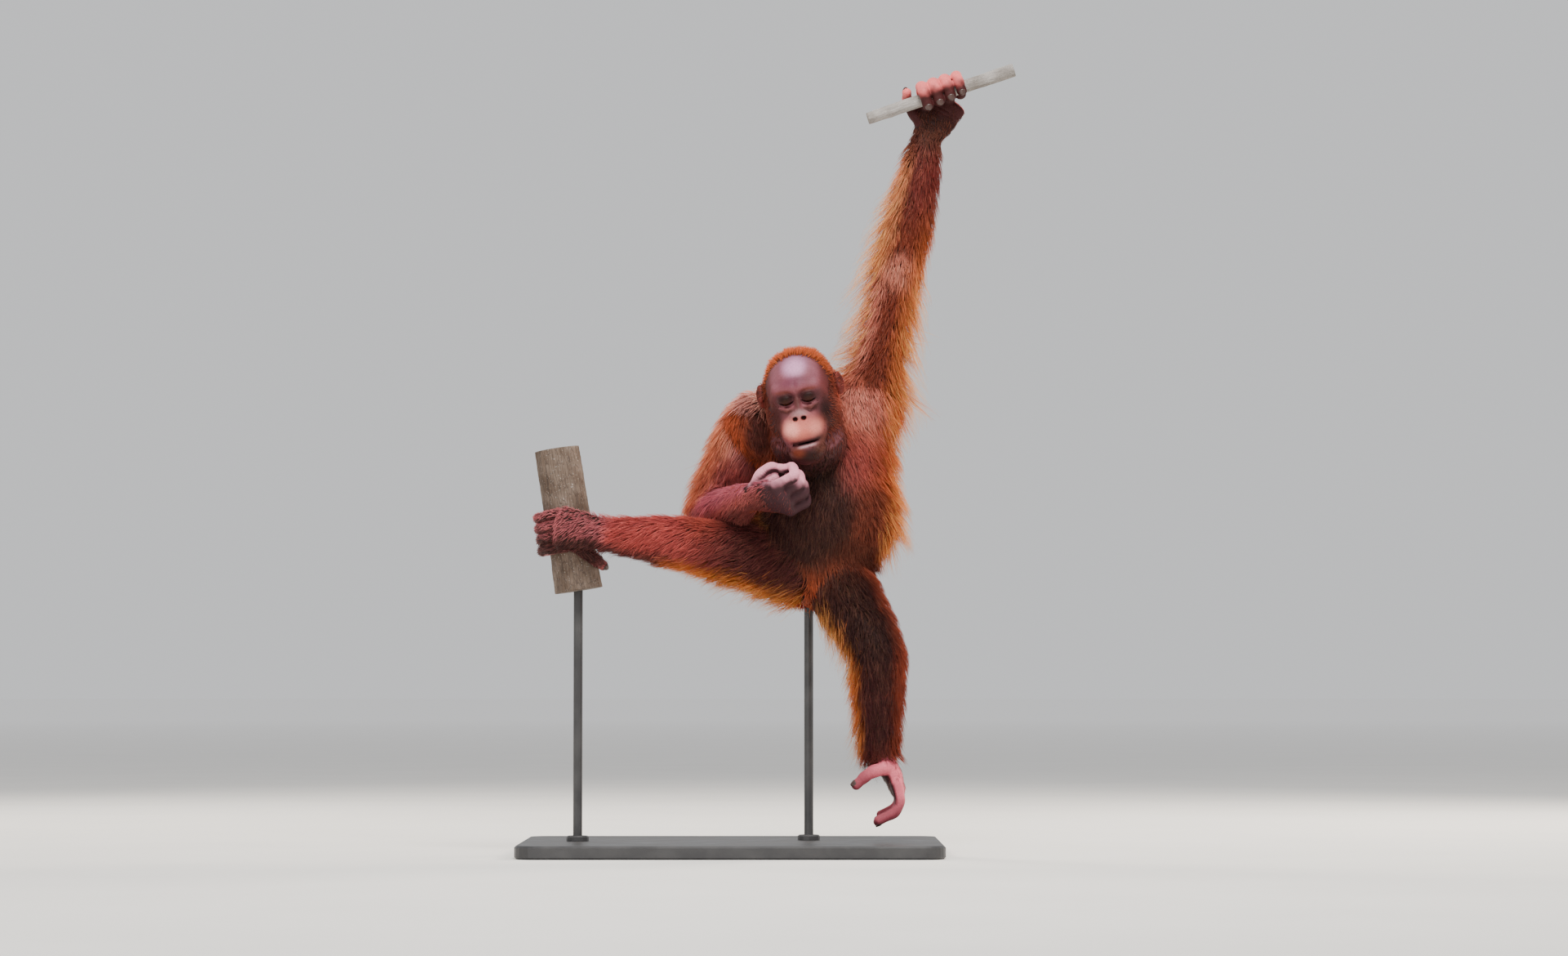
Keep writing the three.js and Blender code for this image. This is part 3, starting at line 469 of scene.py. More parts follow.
DIGITS = {}
for name, (limb, spots, radii, flat) in digit_list().items():
    # each joint is a little thicker than the bones beside it, and the left fingers touch
    plump = 1.07 if name.startswith("finger_left") else 1.0
    rows = []
    for i, (at, r) in enumerate(zip(spots, radii)):
        rows.append((at, r * plump, r * 0.95, flat))
        if i < len(spots) - 1:
            middle = (r + radii[i + 1]) / 2 * 0.93
            bent = (at + spots[i + 1]) / 2
            if 0 < i < len(spots) - 2:
                bent = bent + ((spots[i] - spots[i - 1]) - (spots[i + 2] - spots[i + 1])) / 16
            rows.append((bent, middle * plump, middle * 0.95, flat))
    DIGITS[name] = (limb, Limb(rows, steps=3), spots, radii, flat)


def body_field(P):
    """Distance to the whole skin."""
    d = torso_field(P)
    d = blend(d, neck_field(P), 18)
    for name, limb in LIMBS.items():
        close = ((P > limb.low) & (P < limb.high)).all(1)
        if not close.any():
            continue
        Q = P[close]
        one = limb.field(Q)
        for owner, digit, *_ in DIGITS.values():
            if owner == name:
                one = blend(one, digit.field(Q), 4.0)
        if name == "right_forearm":
            one = blend(one, rod(Q, (46, -116, 556), (66, -124, 566), 9, 8), 7)
        soft = np.full(len(Q), 1.0)
        if name in ROOTS:
            away = np.linalg.norm(Q - vec(*ROOTS[name]), axis=1)
            soft = 1 + 23 * ramp(away, 130, 80)
        if name == "right_forearm":
            away = np.linalg.norm(Q - vec(*RIGHT_ELBOW), axis=1)
            soft = 1 + 8 * ramp(away, 50, 20)
        d[close] = blend(d[close], one, soft)
    near = np.linalg.norm(P - from_head((0, 40, -10)), axis=1) < 150
    if near.any():
        L = to_head(P[near])
        head = blend(head_field(L), ear_field(L), 3)
        d[near] = blend(d[near], head, 5)
    return d


# ---- Skinning: the distances are sampled near the surface only


def sampled(field, low, high, voxel):
    """A dense grid of distances, exact near the surface and rough away from it."""
    low = np.asarray(low, float)
    size = 8
    cells = np.ceil((np.asarray(high) - low) / (voxel * size)).astype(int)
    grid = np.empty(cells * size, np.float32)
    index = np.stack(np.meshgrid(*[np.arange(n) for n in cells], indexing="ij"), -1).reshape(-1, 3)
    corners = np.stack(np.meshgrid([0, 1], [0, 1], [0, 1], indexing="ij"), -1).reshape(1, 8, 3)
    while True:
        d = chunked(field, low + (index + (size - 1) / size / 2) * size * voxel)
        blocks = grid.reshape([n for c in grid.shape for n in (c // size, size)]).transpose(0, 2, 4, 1, 3, 5)
        blocks[index[:, 0], index[:, 1], index[:, 2]] = d[:, None, None, None]
        if size == 1:
            return grid
        index = index[np.abs(d) < size * voxel * 1.05 + 1.2]
        index = (index[:, None] * 2 + corners).reshape(-1, 3)
        size //= 2


def skinned(field, low, high, voxel, adaptivity):
    values = np.clip(sampled(field, low, high, voxel), -voxel * 3, voxel * 3)
    grid = openvdb.FloatGrid(voxel * 3)
    grid.copyFromArray(values)
    points, triangles, quads = grid.convertToPolygons(0.0, adaptivity)
    points = points.astype(float) * voxel + np.asarray(low, float)
    return points, np.vstack([triangles, quads[:, [0, 1, 2]], quads[:, [0, 2, 3]]]).astype(int)


def chunked(field, P, size=200000):
    return np.concatenate([field(P[i : i + size]) for i in range(0, len(P), size)])


def settled(field, P):
    """The points, moved onto the surface."""
    step = 0.3
    for _ in range(2):
        d = chunked(field, P)
        g = np.stack([chunked(field, P + step * e) for e in np.eye(3)], 1) - d[:, None]
        g /= step
        P = P - np.clip(d / np.maximum((g * g).sum(1), 0.25), -1.5, 1.5)[:, None] * g
    return P


def new_object(name, points, faces):
    mesh = bpy.data.meshes.new(name)
    if isinstance(faces, list):
        mesh.from_pydata((points * MM).tolist(), [], faces)
    else:
        mesh.vertices.add(len(points))
        mesh.vertices.foreach_set("co", (points * MM).astype(np.float32).ravel())
        mesh.loops.add(faces.size)
        mesh.loops.foreach_set("vertex_index", faces.astype(np.int32).ravel())
        mesh.polygons.add(len(faces))
        mesh.polygons.foreach_set("loop_start", np.arange(0, faces.size, faces.shape[1], dtype=np.int32))
        mesh.update(calc_edges=True)
    mesh.polygons.foreach_set("use_smooth", np.ones(len(mesh.polygons), bool))
    made = bpy.data.objects.new(name, mesh)
    bpy.context.scene.collection.objects.link(made)
    return made


def paint(made, name, values):
    """Keeps a colour (three columns) or a number for each vertex, for the material to read."""
    values = np.asarray(values, np.float32)
    if values.ndim == 2:
        layer = made.data.attributes.new(name, "FLOAT_COLOR", "POINT")
        full = np.column_stack([values, np.ones(len(values), np.float32)])
        layer.data.foreach_set("color", full.ravel())
    else:
        layer = made.data.attributes.new(name, "FLOAT", "POINT")
        layer.data.foreach_set("value", values)


def dressed(made, material, slot, *nodes):
    """Gives a piece its material, on the one body, and hides the solids of the nodes that it stands for. The
    slot is not used.
    """
    made.data.materials.append(material)
    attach(made, "root")
    if nodes:
        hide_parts(*nodes)


def outward(made, merge=0.0):
    """Joins points closer than `merge` metres, and turns the faces outwards."""
    bm = bmesh.new()
    bm.from_mesh(made.data)
    if merge:
        bmesh.ops.remove_doubles(bm, verts=bm.verts, dist=merge)
    bmesh.ops.recalc_face_normals(bm, faces=bm.faces)
    bm.to_mesh(made.data)
    bm.free()


def ring_faces(rings, sides):
    """The four-sided faces between rings of points, one ring after the other."""
    faces = []
    for a in range(0, (rings - 1) * sides, sides):
        for j in range(sides):
            k = (j + 1) % sides
            faces.append((a + j, a + k, a + sides + k, a + sides + j))
    return faces


def fine_zone(P):
    """Where the skin shows and needs a finer mesh: the face, the ears, the hands and the feet."""
    L = to_head(P)
    ax, y, z = np.abs(L[:, 0]), L[:, 1], L[:, 2]
    zone = (np.abs(z + 22) < 80) & (y < 38) & (y > -60) & (ax < 52)
    zone |= (ax > 52) & (np.linalg.norm(L - vec(0, 55, 4), axis=1) < 76) & (np.abs(z - 4) < 22)
    for _, digit, *_ in DIGITS.values():
        zone |= ((P > digit.low + 16) & (P < digit.high - 16)).all(1)
    return zone


SKIN_BOX = (-345, -215, 25), (385, 150, 1205)
SKIN_VOXEL = 1.6
SKIN_ADAPTIVITY = 0.03


def make_skin():
    points, faces = skinned(body_field, *SKIN_BOX, SKIN_VOXEL, SKIN_ADAPTIVITY)
    points, faces = refined(points, faces, fine_zone(points))
    shown = fine_zone(points)
    points[shown] = settled(body_field, points[shown])
    return points, faces


# The faces that take a face's place, by how many of its edges are cut. Its corners are 0 to 2,
# and the middles of its edges 3 to 5.
SPLITS = [
    ((0, 1, 2),),
    ((0, 3, 2), (3, 1, 2)),
    ((0, 3, 2), (3, 1, 4), (3, 4, 2)),
    ((0, 3, 5), (3, 1, 4), (5, 4, 2), (3, 4, 5)),
]


def refined(points, faces, chosen):
    """Splits each edge between chosen points, and the faces on both sides of it."""
    edges = np.sort(faces[:, [0, 1, 1, 2, 2, 0]].reshape(-1, 2), axis=1)
    edges, index = np.unique(edges, axis=0, return_inverse=True)
    index = index.reshape(-1, 3)
    cut = chosen[edges].all(1)
    number = np.full(len(edges), -1)
    number[cut] = len(points) + np.arange(cut.sum())
    points = np.vstack([points, points[edges[cut]].mean(1)])
    halves = number[index]
    made = []
    for pattern in range(8):
        bits = [(pattern >> i) & 1 == 1 for i in range(3)]
        rows = ((halves >= 0) == bits).all(1)
        # a face is turned so that its cut edges come first
        turn = 0
        if sum(bits) == 1:
            turn = bits.index(True)
        elif sum(bits) == 2:
            turn = (bits.index(False) + 1) % 3
        both = np.hstack([np.roll(faces[rows], -turn, 1), np.roll(halves[rows], -turn, 1)])
        made += [both[:, t] for t in SPLITS[sum(bits)]]
    return points, np.vstack(made)


def srgb(*rgb):
    c = np.array(rgb, float) / 255
    return np.where(c <= 0.04045, c / 12.92, ((c + 0.055) / 1.055) ** 2.4)


def mix_colour(base, other, share):
    return base * (1 - share[:, None]) + np.asarray(other) * share[:, None]


# ---- Which part of the body a point of the skin belongs to, and the lie and depth of its coat


def blob(P, centre, radius, soft):
    """1 near a spot, falling to 0 at the radius."""
    away = np.linalg.norm((P - vec(*centre)) / np.asarray(radius, float), axis=1)
    return ramp(away, 1, 1 - soft)


def on_limb(P, limb, best, room=0, margin=0.0):
    """The points that are nearer to a limb than `best`: their numbers, places along it and its way."""
    where = np.nonzero(((P > limb.low - room) & (P < limb.high + room)).all(1))[0]
    d, u, along = limb.measure(P[where])
    closer = d < best[where] + margin
    chosen = where[closer]
    best[chosen] = np.minimum(d[closer], best[chosen])
    return chosen, u[closer], along[closer]


def describe(P, N):
    """For points on the skin: their part, place along a limb, hair direction, coat depth and place
    in the head's frame."""
    count = len(P)
    best = torso_field(P)
    part = np.zeros(count, int)
    u = np.zeros(count)
    lie = np.zeros((count, 3))
    x, y, z = P.T
    depth = 7 + 22 * ramp(x, 200, 240) + 12 * ramp(y, 0, 70)
    depth = depth + 16 * ramp(x, 82, 58) * ramp(z, 560, 535) * ramp(z, 470, 490)
    depth = depth + 9 * ramp(x, 210, 240) * ramp(z, 460, 490) * ramp(z, 640, 560)
    lie[:] = unit(np.column_stack([0.5 * ramp(x, 120, 220) - 0.1, 0 * x, -np.ones(count)]))
    other = neck_field(P)
    near = other < best
    best = np.minimum(best, other)
    part[near] = NECK
    depth = np.where(near, 1.8 + 11 * ramp(y, -40, 40), depth)
    lie[near] = unit(vec(0.1, 0.4, -1))
    for i, limb in enumerate(LIMBS.values()):
        sel, place, along = on_limb(P, limb, best, room=5)
        part[sel], u[sel] = LEFT_ARM + i, place
        stations = np.arange(limb.count)
        depth[sel] = np.interp(place, stations, limb.coat)
        for to, long in limb.fringes:
            depth[sel] += np.interp(place, stations, long) * np.maximum(N[sel] @ to, 0) ** 1.8
        lie[sel] = unit(along * limb.comb + DOWN * 0.55)
    for owner, digit, *_ in DIGITS.values():
        sel, place, along = on_limb(P, digit, best, margin=0.3)
        part[sel], u[sel] = LEFT_ARM + list(LIMBS).index(owner), FINGERS + place / 2
        depth[sel] = 3.0 if owner == "right_leg" else 0.0
        lie[sel] = along
    L = to_head(P)
    d = np.minimum(head_field(L), ear_field(L))
    near = (d < best + 1.0) & (np.linalg.norm(L - vec(0, 40, -10), axis=1) < 130)
    part[near] = HEAD
    lx, ly, lz = L[near].T
    ax = np.abs(lx)
    depth[near] = ramp(ly - 0.3 * ax, 8, 36) * (6 + 5 * ramp(lz, 30, 56) + 9 * ramp(ly, 60, 120))
    aside = 0.55 * np.sign(lx) * ramp(ax, 0, 30)
    back = np.column_stack([aside, np.full(len(lx), 0.9), np.where(lz > 20, 0.15, -0.7)])
    lie[near] = unit(back) @ HEAD_TURN.T
    return part, u, lie, depth, L


def bare_share(P, N, part, u, L):
    """1 where the skin is bare: the face, ears, palms, soles, fingers and toes."""
    bare = np.zeros(len(P))
    lx, ly, lz = L.T
    ax = np.abs(lx)
    limit = np.interp(lz, [-100, -75, -45, -15, 10, 62], [26, 20, 18, 24, 38, 42])
    face = ramp(limit - ly, -6, 9) + ramp(ax, 55, 58) * ramp(70 - ly, 0, 4)
    bare = np.where(part == HEAD, np.clip(face, 0, 1), bare)
    bare = np.where(part == NECK, 0.75 * ramp(P[:, 1], -55, -85), bare)
    on_digit = u >= FINGERS
    outer = ramp(N @ vec(0, -1, 0.3), -0.3, 0.3)
    # the coat ends between these two places along each limb
    ends = {LEFT_ARM: (6.8, 7.7), RIGHT_FOREARM: (3.8, 4.6), RIGHT_LEG: (7.9, 9.5), LEFT_LEG: (5.6, 6.2)}
    for number, (start, end) in ends.items():
        # the back of the left hand carries hair further down
        longer = 1.3 * ramp(N[:, 1], 0, 0.5) if number == LEFT_ARM else 0.0
        bare = np.where(part == number, ramp(u, start + longer, end + longer), bare)
    sole = (part == RIGHT_LEG) & (u > 6.3)
    bare = np.where(sole, np.maximum(bare, 1 - outer), bare)
    toes = 1 - outer * ramp(u, 23.2, 21.5)
    return np.where(on_digit, np.where(part == RIGHT_LEG, toes, 1), bare)


def hair_colour(P, N, part, u, L):
    """The hair's colour near its tip, from where it grows. Each tone is laid over those before it. Some
    tones are painted light and shade: painted highlights, painted back-light glow on fringes and edges, and
    painted shade on undersides and under the throat sac.
    """
    x, y, z = P.T
    nx, ny, nz = N.T
    lx, _, lz = L.T
    colour = np.tile(srgb(190, 92, 56), (len(P), 1))

    def tone(where, rgb, share):
        nonlocal colour
        share = np.clip(np.where(where, share, 0), 0, 1)
        colour = mix_colour(colour, srgb(*rgb), share)

    def spot(centre, radius, soft=0.8):
        return blob(P, centre, radius, soft)

    neck = part == NECK
    body = (part == TORSO) | neck
    front = ramp(y, 50, 10)
    # dark belly: sparse hair over dark skin, with painted shade laid over it
    tone(body, (48, 23, 29), 0.97 * front * spot((112, -70, 538), (110, 120, 130), 0.42))
    # painted highlight on the left shoulder and upper chest
    tone(body, (242, 152, 134), 0.95 * front * spot((196, -30, 690), (62, 90, 76)))
    tone(body, (176, 86, 82), 0.85 * front * spot((186, -50, 606), (46, 90, 70)))
    tone(body, (112, 50, 38), 0.85 * front * spot((214, -40, 515), (56, 90, 76), 0.6))
    tone(body, (84, 36, 30), 0.85 * ramp(z, 505, 465) * ramp(x, 140, 180) * front)
    tone(body, (88, 40, 44), 0.9 * front * spot((42, -30, 652), (34, 70, 60), 0.7))
    # painted back-light glow on the fringe along the left flank
    tone(body, (226, 124, 66), 0.7 * ramp(x, 212, 246))
    tone(neck, (112, 54, 52), 0.85 * ramp(y, -10, -50))
    # painted shade under the throat sac
    tone(body, (30, 15, 18), 0.95 * spot((134, -96, 590), (54, 70, 34), 0.7))
    tone(neck, (196, 98, 70), 0.8 * ramp(x, 90, 66) * ramp(z, 640, 660))
    arm = part == LEFT_ARM
    tone(arm, (134, 53, 35), 1)
    # painted highlight on the shoulder end of the left arm
    tone(arm, (240, 142, 112), 0.85 * ramp(u, 1.5, 0.3) * ramp(x, 214, 196))
    # painted highlight on the left elbow
    tone(arm, (246, 164, 138), 0.8 * spot((258, -10, 905), (40, 60, 44)))
    # painted shade on the back of the upper arm beside the elbow
    tone(arm, (124, 56, 48), 0.7 * spot((284, -10, 862), (30, 60, 44)))
    tone(arm, (128, 50, 48), 0.85 * ramp(u, 4.2, 4.8))
    # darker towards the wrist, partly painted shade below the branch
    tone(arm, (98, 53, 41), 0.92 * ramp(u, 5.3, 6.2))
    # painted back-light glow on the side of the arm that faces +X
    tone(arm, (232, 136, 74), 0.75 * ramp(nx, 0.25, 0.9) * ramp(u, 5.2, 2.8))
    # painted back-light glow, pale pink and gold, on the side of the arm that faces -X
    tone(arm, (246, 158, 136), ramp(-nx, 0.25, 0.9) * ramp(u, 0.5, 1.5) * ramp(u, 3.6, 2.6))
    tone(arm, (246, 164, 110), ramp(-nx, 0.25, 0.9) * ramp(u, 2.6, 3.6) * ramp(u, 6.0, 5.0))
    upper, fore = part == RIGHT_UPPER_ARM, part == RIGHT_FOREARM
    tone(upper | fore, (198, 106, 104), 1)
    # painted highlight on the top of the right shoulder and upper arm
    tone(upper, (252, 180, 162), 0.95 * ramp(z, 596, 660))
    tone(upper, (92, 38, 46), 0.85 * spot((34, -30, 648), (30, 70, 62), 0.7))
    # painted back-light glow on the side of the upper arm that faces -X
    tone(upper, (240, 140, 96), ramp(-nx, 0.3, 0.9) * 0.8)
    # painted highlight on the top of the forearm
    tone(fore, (198, 104, 124), 0.85 * ramp(nz, -0.2, 0.7))
    # painted shade on the underside of the forearm
    tone(fore, (112, 48, 50), 0.8 * ramp(-nz, 0.1, 0.8))
    tone(upper | fore, (196, 96, 58), 0.85 * ramp(ny, 0.1, 0.7))
    leg = part == RIGHT_LEG
    tone(leg, (90, 36, 40), 1)
    tone(leg, (206, 92, 88), ramp(u, 1.6, 3.8))
    tone(leg, (190, 88, 70), 0.6 * spot((-36, -60, 506), (50, 80, 40)))
    tone(leg, (214, 126, 134), 0.85 * ramp(u, 5.2, 6.4))
    # painted shade on the underside of the leg
    tone(leg, (84, 38, 42), 0.9 * ramp(-nz, 0.0, 0.8) * ramp(u, 2.5, 4.0))
    # painted back-light glow on the fringe hanging under the thigh
    tone(leg, (244, 144, 62), ramp(-nz, 0.45, 0.98) * ramp(u, 4.5, 2.5))
    tone(leg, (150, 66, 44), 0.85 * ramp(ny, 0.1, 0.7))
    tone(leg & (u > 6), (70, 34, 36), 0.9 * ramp(z, 490, 474))
    low = part == LEFT_LEG
    # dark coat on the left leg, with painted shade laid into it
    tone(low, (50, 21, 25), 1)
    tone(low, (82, 34, 28), 0.85 * ramp(u, 1.7, 0.5))
    tone(low, (80, 31, 38), 0.8 * ramp(u, 2.5, 4))
    tone(low, (128, 54, 48), 0.7 * ramp(u, 4.8, 6))
    # painted back-light glow on the fringe on the side of the leg that faces -X
    tone(low, (222, 116, 52), 0.9 * ramp(-nx, 0.7, 1.0) * ramp(u, 7.5, 5.0))
    # painted back-light glow on the side of the leg that faces +X
    tone(low, (160, 70, 44), 0.8 * ramp(nx, 0.4, 0.95))
    head = part == HEAD
    tone(head, (132, 56, 44), 1)
    tone(head, (226, 112, 54), ramp(lz, 5, 45))
    tone(head, (206, 104, 80), 0.8 * ramp(lx, 46, 56) * ramp(lz, -50, -10))
    return colour


# Patches on the face: x and z of the middle, the half sizes, colour, strength, and whether the
# patch is on both sides alike
FACE_PATCHES = [
    (0, 62, 60, 20, (92, 46, 48), 0.8, 0),
    # painted highlight on the forehead
    (3, 44, 19, 14, (196, 140, 174), 0.9, 0),
    (0, 24, 26, 8, (100, 52, 68), 0.75, 0),
    (34, 34, 14, 24, (124, 76, 86), 0.7, 1),
    (46, 4, 12, 34, (88, 36, 34), 0.9, 1),
    (48, 34, 9, 26, (88, 42, 44), 0.85, 1),
    (20, 10, 13, 3.2, (122, 60, 54), 0.9, 1),
    # painted shadow of the brows in the eye sockets
    (18, 0, 17, 10.5, (22, 8, 5), 0.99, 1),
    (18, -4, 7, 3.6, (58, 30, 17), 0.5, 1),
    (18, -18, 15, 5, (84, 44, 38), 0.85, 1),
    (0, -8, 5, 13, (70, 38, 34), 0.85, 0),
    (0, -23, 15, 6, (138, 104, 106), 0.9, 0),
    # dark cheek skin, with painted shade between the muzzle and the face's edge
    (38, -32, 14, 28, (20, 8, 6), 0.97, 0),
    (-38, -32, 12, 30, (50, 20, 15), 0.9, 0),
    (1, -46, 28, 18, (186, 98, 84), 1.0, 0),
    (-14, -44, 12, 12, (236, 152, 138), 0.8, 0),
    (22, -48, 9, 11, (206, 126, 112), 0.6, 0),
    # painted shadow at the right corner of the mouth
    (30, -66, 9, 9, (96, 50, 40), 0.85, 0),
    # dark chin skin, with painted shade under the chin
    (4, -90, 36, 16, (30, 13, 9), 0.97, 0),
    (-12, -80, 12, 9, (112, 56, 36), 0.8, 0),
    (24, -78, 9, 10, (84, 48, 30), 0.6, 0),
]


def face_colour(L):
    """The skin of the face and ears, from places in the head's own frame."""
    x, y, z = L.T
    ax = np.abs(x)
    colour = np.tile(srgb(122, 68, 74), (len(L), 1))

    def tone(rgb, share):
        nonlocal colour
        colour = mix_colour(colour, srgb(*rgb), share)

    for cx, cz, rx, rz, rgb, strength, both in FACE_PATCHES:
        far = ((ax if both else x) - cx) ** 2 / rx**2 + (z - cz) ** 2 / rz**2
        tone(rgb, strength * np.exp(-(far**1.6)))
    # mouth with painted shadow under the upper lip, a painted highlight on the lower lip, nostrils, the
    # slits of the eyes, and the edge of the forehead
    line = z - mouth_line(x)
    # the mouth's dark gap, widened by painted shadow under the upper lip
    tone((38, 16, 17), 0.95 * np.exp(-(((line - 2.2) / 4.2) ** 2)) * ramp(np.abs(x - MOUTH_MIDDLE), 27, 18))
    # painted highlight: the wet shine along the lower lip
    tone((196, 152, 154), 0.65 * (np.exp(-(((line + 4.6) / 2.2) ** 2)) * ramp(np.abs(x - 5), 19, 6)))
    tone((40, 22, 22), 0.92 * np.exp(-((((ax - 6.2) / 4.4) ** 2 + ((z + 30) / 3.6) ** 2) ** 2)))
    slit = np.exp(-((np.abs(z - lid_line(ax - EYE[0])) / 1.3) ** 2))
    tone((16, 7, 6), 0.94 * (slit * ramp(np.abs(ax - EYE[0]), 13, 10) * ramp(y, 12, 6)))
    tone((70, 28, 24), 0.8 * ramp(y, 18, 38) * ramp(z, 50, 30))
    hollow = np.exp(-(((y - 52) / 7) ** 2 + ((z - 6) / 11) ** 2))
    ears = mix_colour(np.tile(srgb(106, 42, 36), (len(L), 1)), srgb(28, 9, 7), hollow)
    return mix_colour(colour, ears, ramp(ax, 55, 58))


def skin_colour(P, N, part, u, L, bare):
    """The skin's colour: dark under the coat, and purple pink on the face, hands and feet."""
    under = np.tile(srgb(42, 20, 17), (len(P), 1))
    colour = np.tile(srgb(66, 34, 36), (len(P), 1))
    arcs = np.cos((throat_arcs(P) - ARC_RADIUS) / 7)
    colour = mix_colour(colour, srgb(126, 76, 82), 0.6 * ramp(arcs, 0.3, 1) * (part == NECK))
    colour = np.where((part == HEAD)[:, None], face_colour(L), colour)
    tones = {
        LEFT_ARM: (222, 108, 106),
        RIGHT_FOREARM: (220, 144, 160),
        RIGHT_LEG: (150, 78, 78),
        LEFT_LEG: (212, 104, 118),
    }
    for number, rgb in tones.items():
        colour = np.where((part == number)[:, None], srgb(*rgb), colour)
    # palms and soles are darker, with painted shade on the left palm under the branch; the side of the left
    # fingers below the branch is dark skin with painted shade, the lower side of the fist is painted shade,
    # and the left toes are darker
    digit = u >= FINGERS
    patchy = 4 * noise(P, 24, 61)
    over = (P - BRANCH_AT) @ BRANCH_OVER + patchy
    # painted shade on the left fingers below the branch and on the palm's front and lower side
    hand = np.where(digit, ramp(over, 20, -3), ramp(N @ vec(0, -0.9, -0.4), -0.1, 0.5))
    # painted shade on the lower side of the fist
    fist = np.maximum(ramp(P[:, 2] + patchy, 573, 549), ramp(N @ DOWN, 0.0, 0.7))
    foot = ramp(N @ vec(-0.8, 0, -0.6), 0.2, 0.8)
    places = [part == LEFT_ARM, part == RIGHT_FOREARM, part == LEFT_LEG]
    colour = mix_colour(colour, srgb(20, 9, 10), 0.95 * np.select(places, [hand, fist, foot], 0.0))
    colour = mix_colour(colour, srgb(126, 57, 67), 0.8 * ramp(u, 20.5, 22) * digit * (part == LEFT_LEG))
    ends = ramp(u, 22.6, 23.6) * digit
    colour = mix_colour(colour, srgb(200, 150, 152), 0.5 * ends * (part == RIGHT_FOREARM))
    return under * (1 - bare[:, None]) + colour * bare[:, None]


# ---- The coat: closed, tapering, three-sided tufts along a curve


def unwrap(P, part, u, L):
    """A place on a flat map of the skin for each root, by the part's own turn and length."""
    out = np.zeros((len(P), 2))
    turn = np.arctan2(P[:, 1] - 12, P[:, 0] - 142)
    out[:, 0] = turn / (2 * math.pi) + 0.5
    out[:, 1] = (P[:, 2] - 360) / 400
    head = part == HEAD
    out[head, 0] = np.arctan2(L[head, 0], -(L[head, 1] - 50)) / (2 * math.pi) + 0.5
    out[head, 1] = np.arctan2(L[head, 2], np.hypot(L[head, 0], L[head, 1] - 50)) / math.pi + 0.5
    for i, limb in enumerate(LIMBS.values()):
        sel = np.nonzero(part == LEFT_ARM + i)[0]
        if not len(sel):
            continue
        uu = np.minimum(u[sel], limb.count - 1)
        centre = np.stack([np.interp(uu, limb.u, limb.at[:, k]) for k in range(3)], 1)
        q = P[sel] - centre
        length = limb.at[-1] - limb.at[0]
        across = unit(np.cross(length, vec(0, 1, 0.1)))
        over = unit(np.cross(length, across))
        out[sel, 0] = np.arctan2(q @ over, q @ across) / (2 * math.pi) + 0.5
        out[sel, 1] = uu / (limb.count - 1)
    return np.clip(out * 0.98 + 0.01, 0.004, 0.996)


SHARES = (0.0, 0.36, 0.72, 1.0)  # places of a tuft's rings from its root to its tip
TAPER = (1.0, 0.95, 0.6)  # the width at each ring before the tip
SINK = 0.8  # how far a root lies under the skin
PATCH = 0.0028  # the size of a tuft's patch on the map
FULL_SPACING = 2.3  # between the roots
SPACING = FULL_SPACING
CLUMP_GAP = 9.0  # between the tufts that others lean towards


def grown(roots, normals, facts, rng, clump):
    """Rows of points along each tuft, from its root to its tip."""
    count = len(roots)
    waves = np.stack([noise(roots, 46, 7 + k) for k in range(3)], 1) * 0.3
    lie = unit(facts["lie"] + waves + rng.normal(size=(count, 3)) * facts["loose"][:, None])
    flat = unit(lie - normals * (lie * normals).sum(1, keepdims=True))
    length = facts["length"]
    height = np.minimum(facts["height"], length * 0.97)
    run = np.sqrt(np.maximum(length**2 - height**2, 0))
    path = np.empty((len(SHARES), count, 3))
    for k, share in enumerate(SHARES):
        path[k] = roots + flat * (run * share)[:, None] + normals * (height * share**0.8 - SINK)[:, None]
        path[k] += DOWN * (facts["droop"] * length * share**2)[:, None]
    # each ring is moved to its height over the skin
    for k in range(1, len(SHARES)):
        want = np.maximum(height * SHARES[k] ** 0.8, 0.6)
        for _ in range(2):
            d = chunked(body_field, path[k])
            g = unit(np.stack([chunked(body_field, path[k] + e) for e in np.eye(3)], 1) - d[:, None])
            path[k] += g * np.clip(want - d, -6, 14)[:, None]
    if clump and count > 50:
        guides = rng.choice(count, max(8, int(count * SPACING**2 / CLUMP_GAP**2)), replace=False)
        tree = KDTree(len(guides))
        for i, g in enumerate(guides):
            tree.insert(roots[g], i)
        tree.balance()
        mine = guides[[tree.find(p)[1] for p in roots]]
        pull = clump * rng.uniform(0.3, 1.2, count) * ramp(height, 1, 7) * (1 + 0.7 * ramp(height, 14, 34))
        for k in range(1, len(SHARES)):
            share = np.minimum(pull * SHARES[k] ** 1.3, 0.9)[:, None]
            path[k] = path[k] * (1 - share) + (path[k][mine] + (roots - roots[mine]) * 0.2) * share
    return path


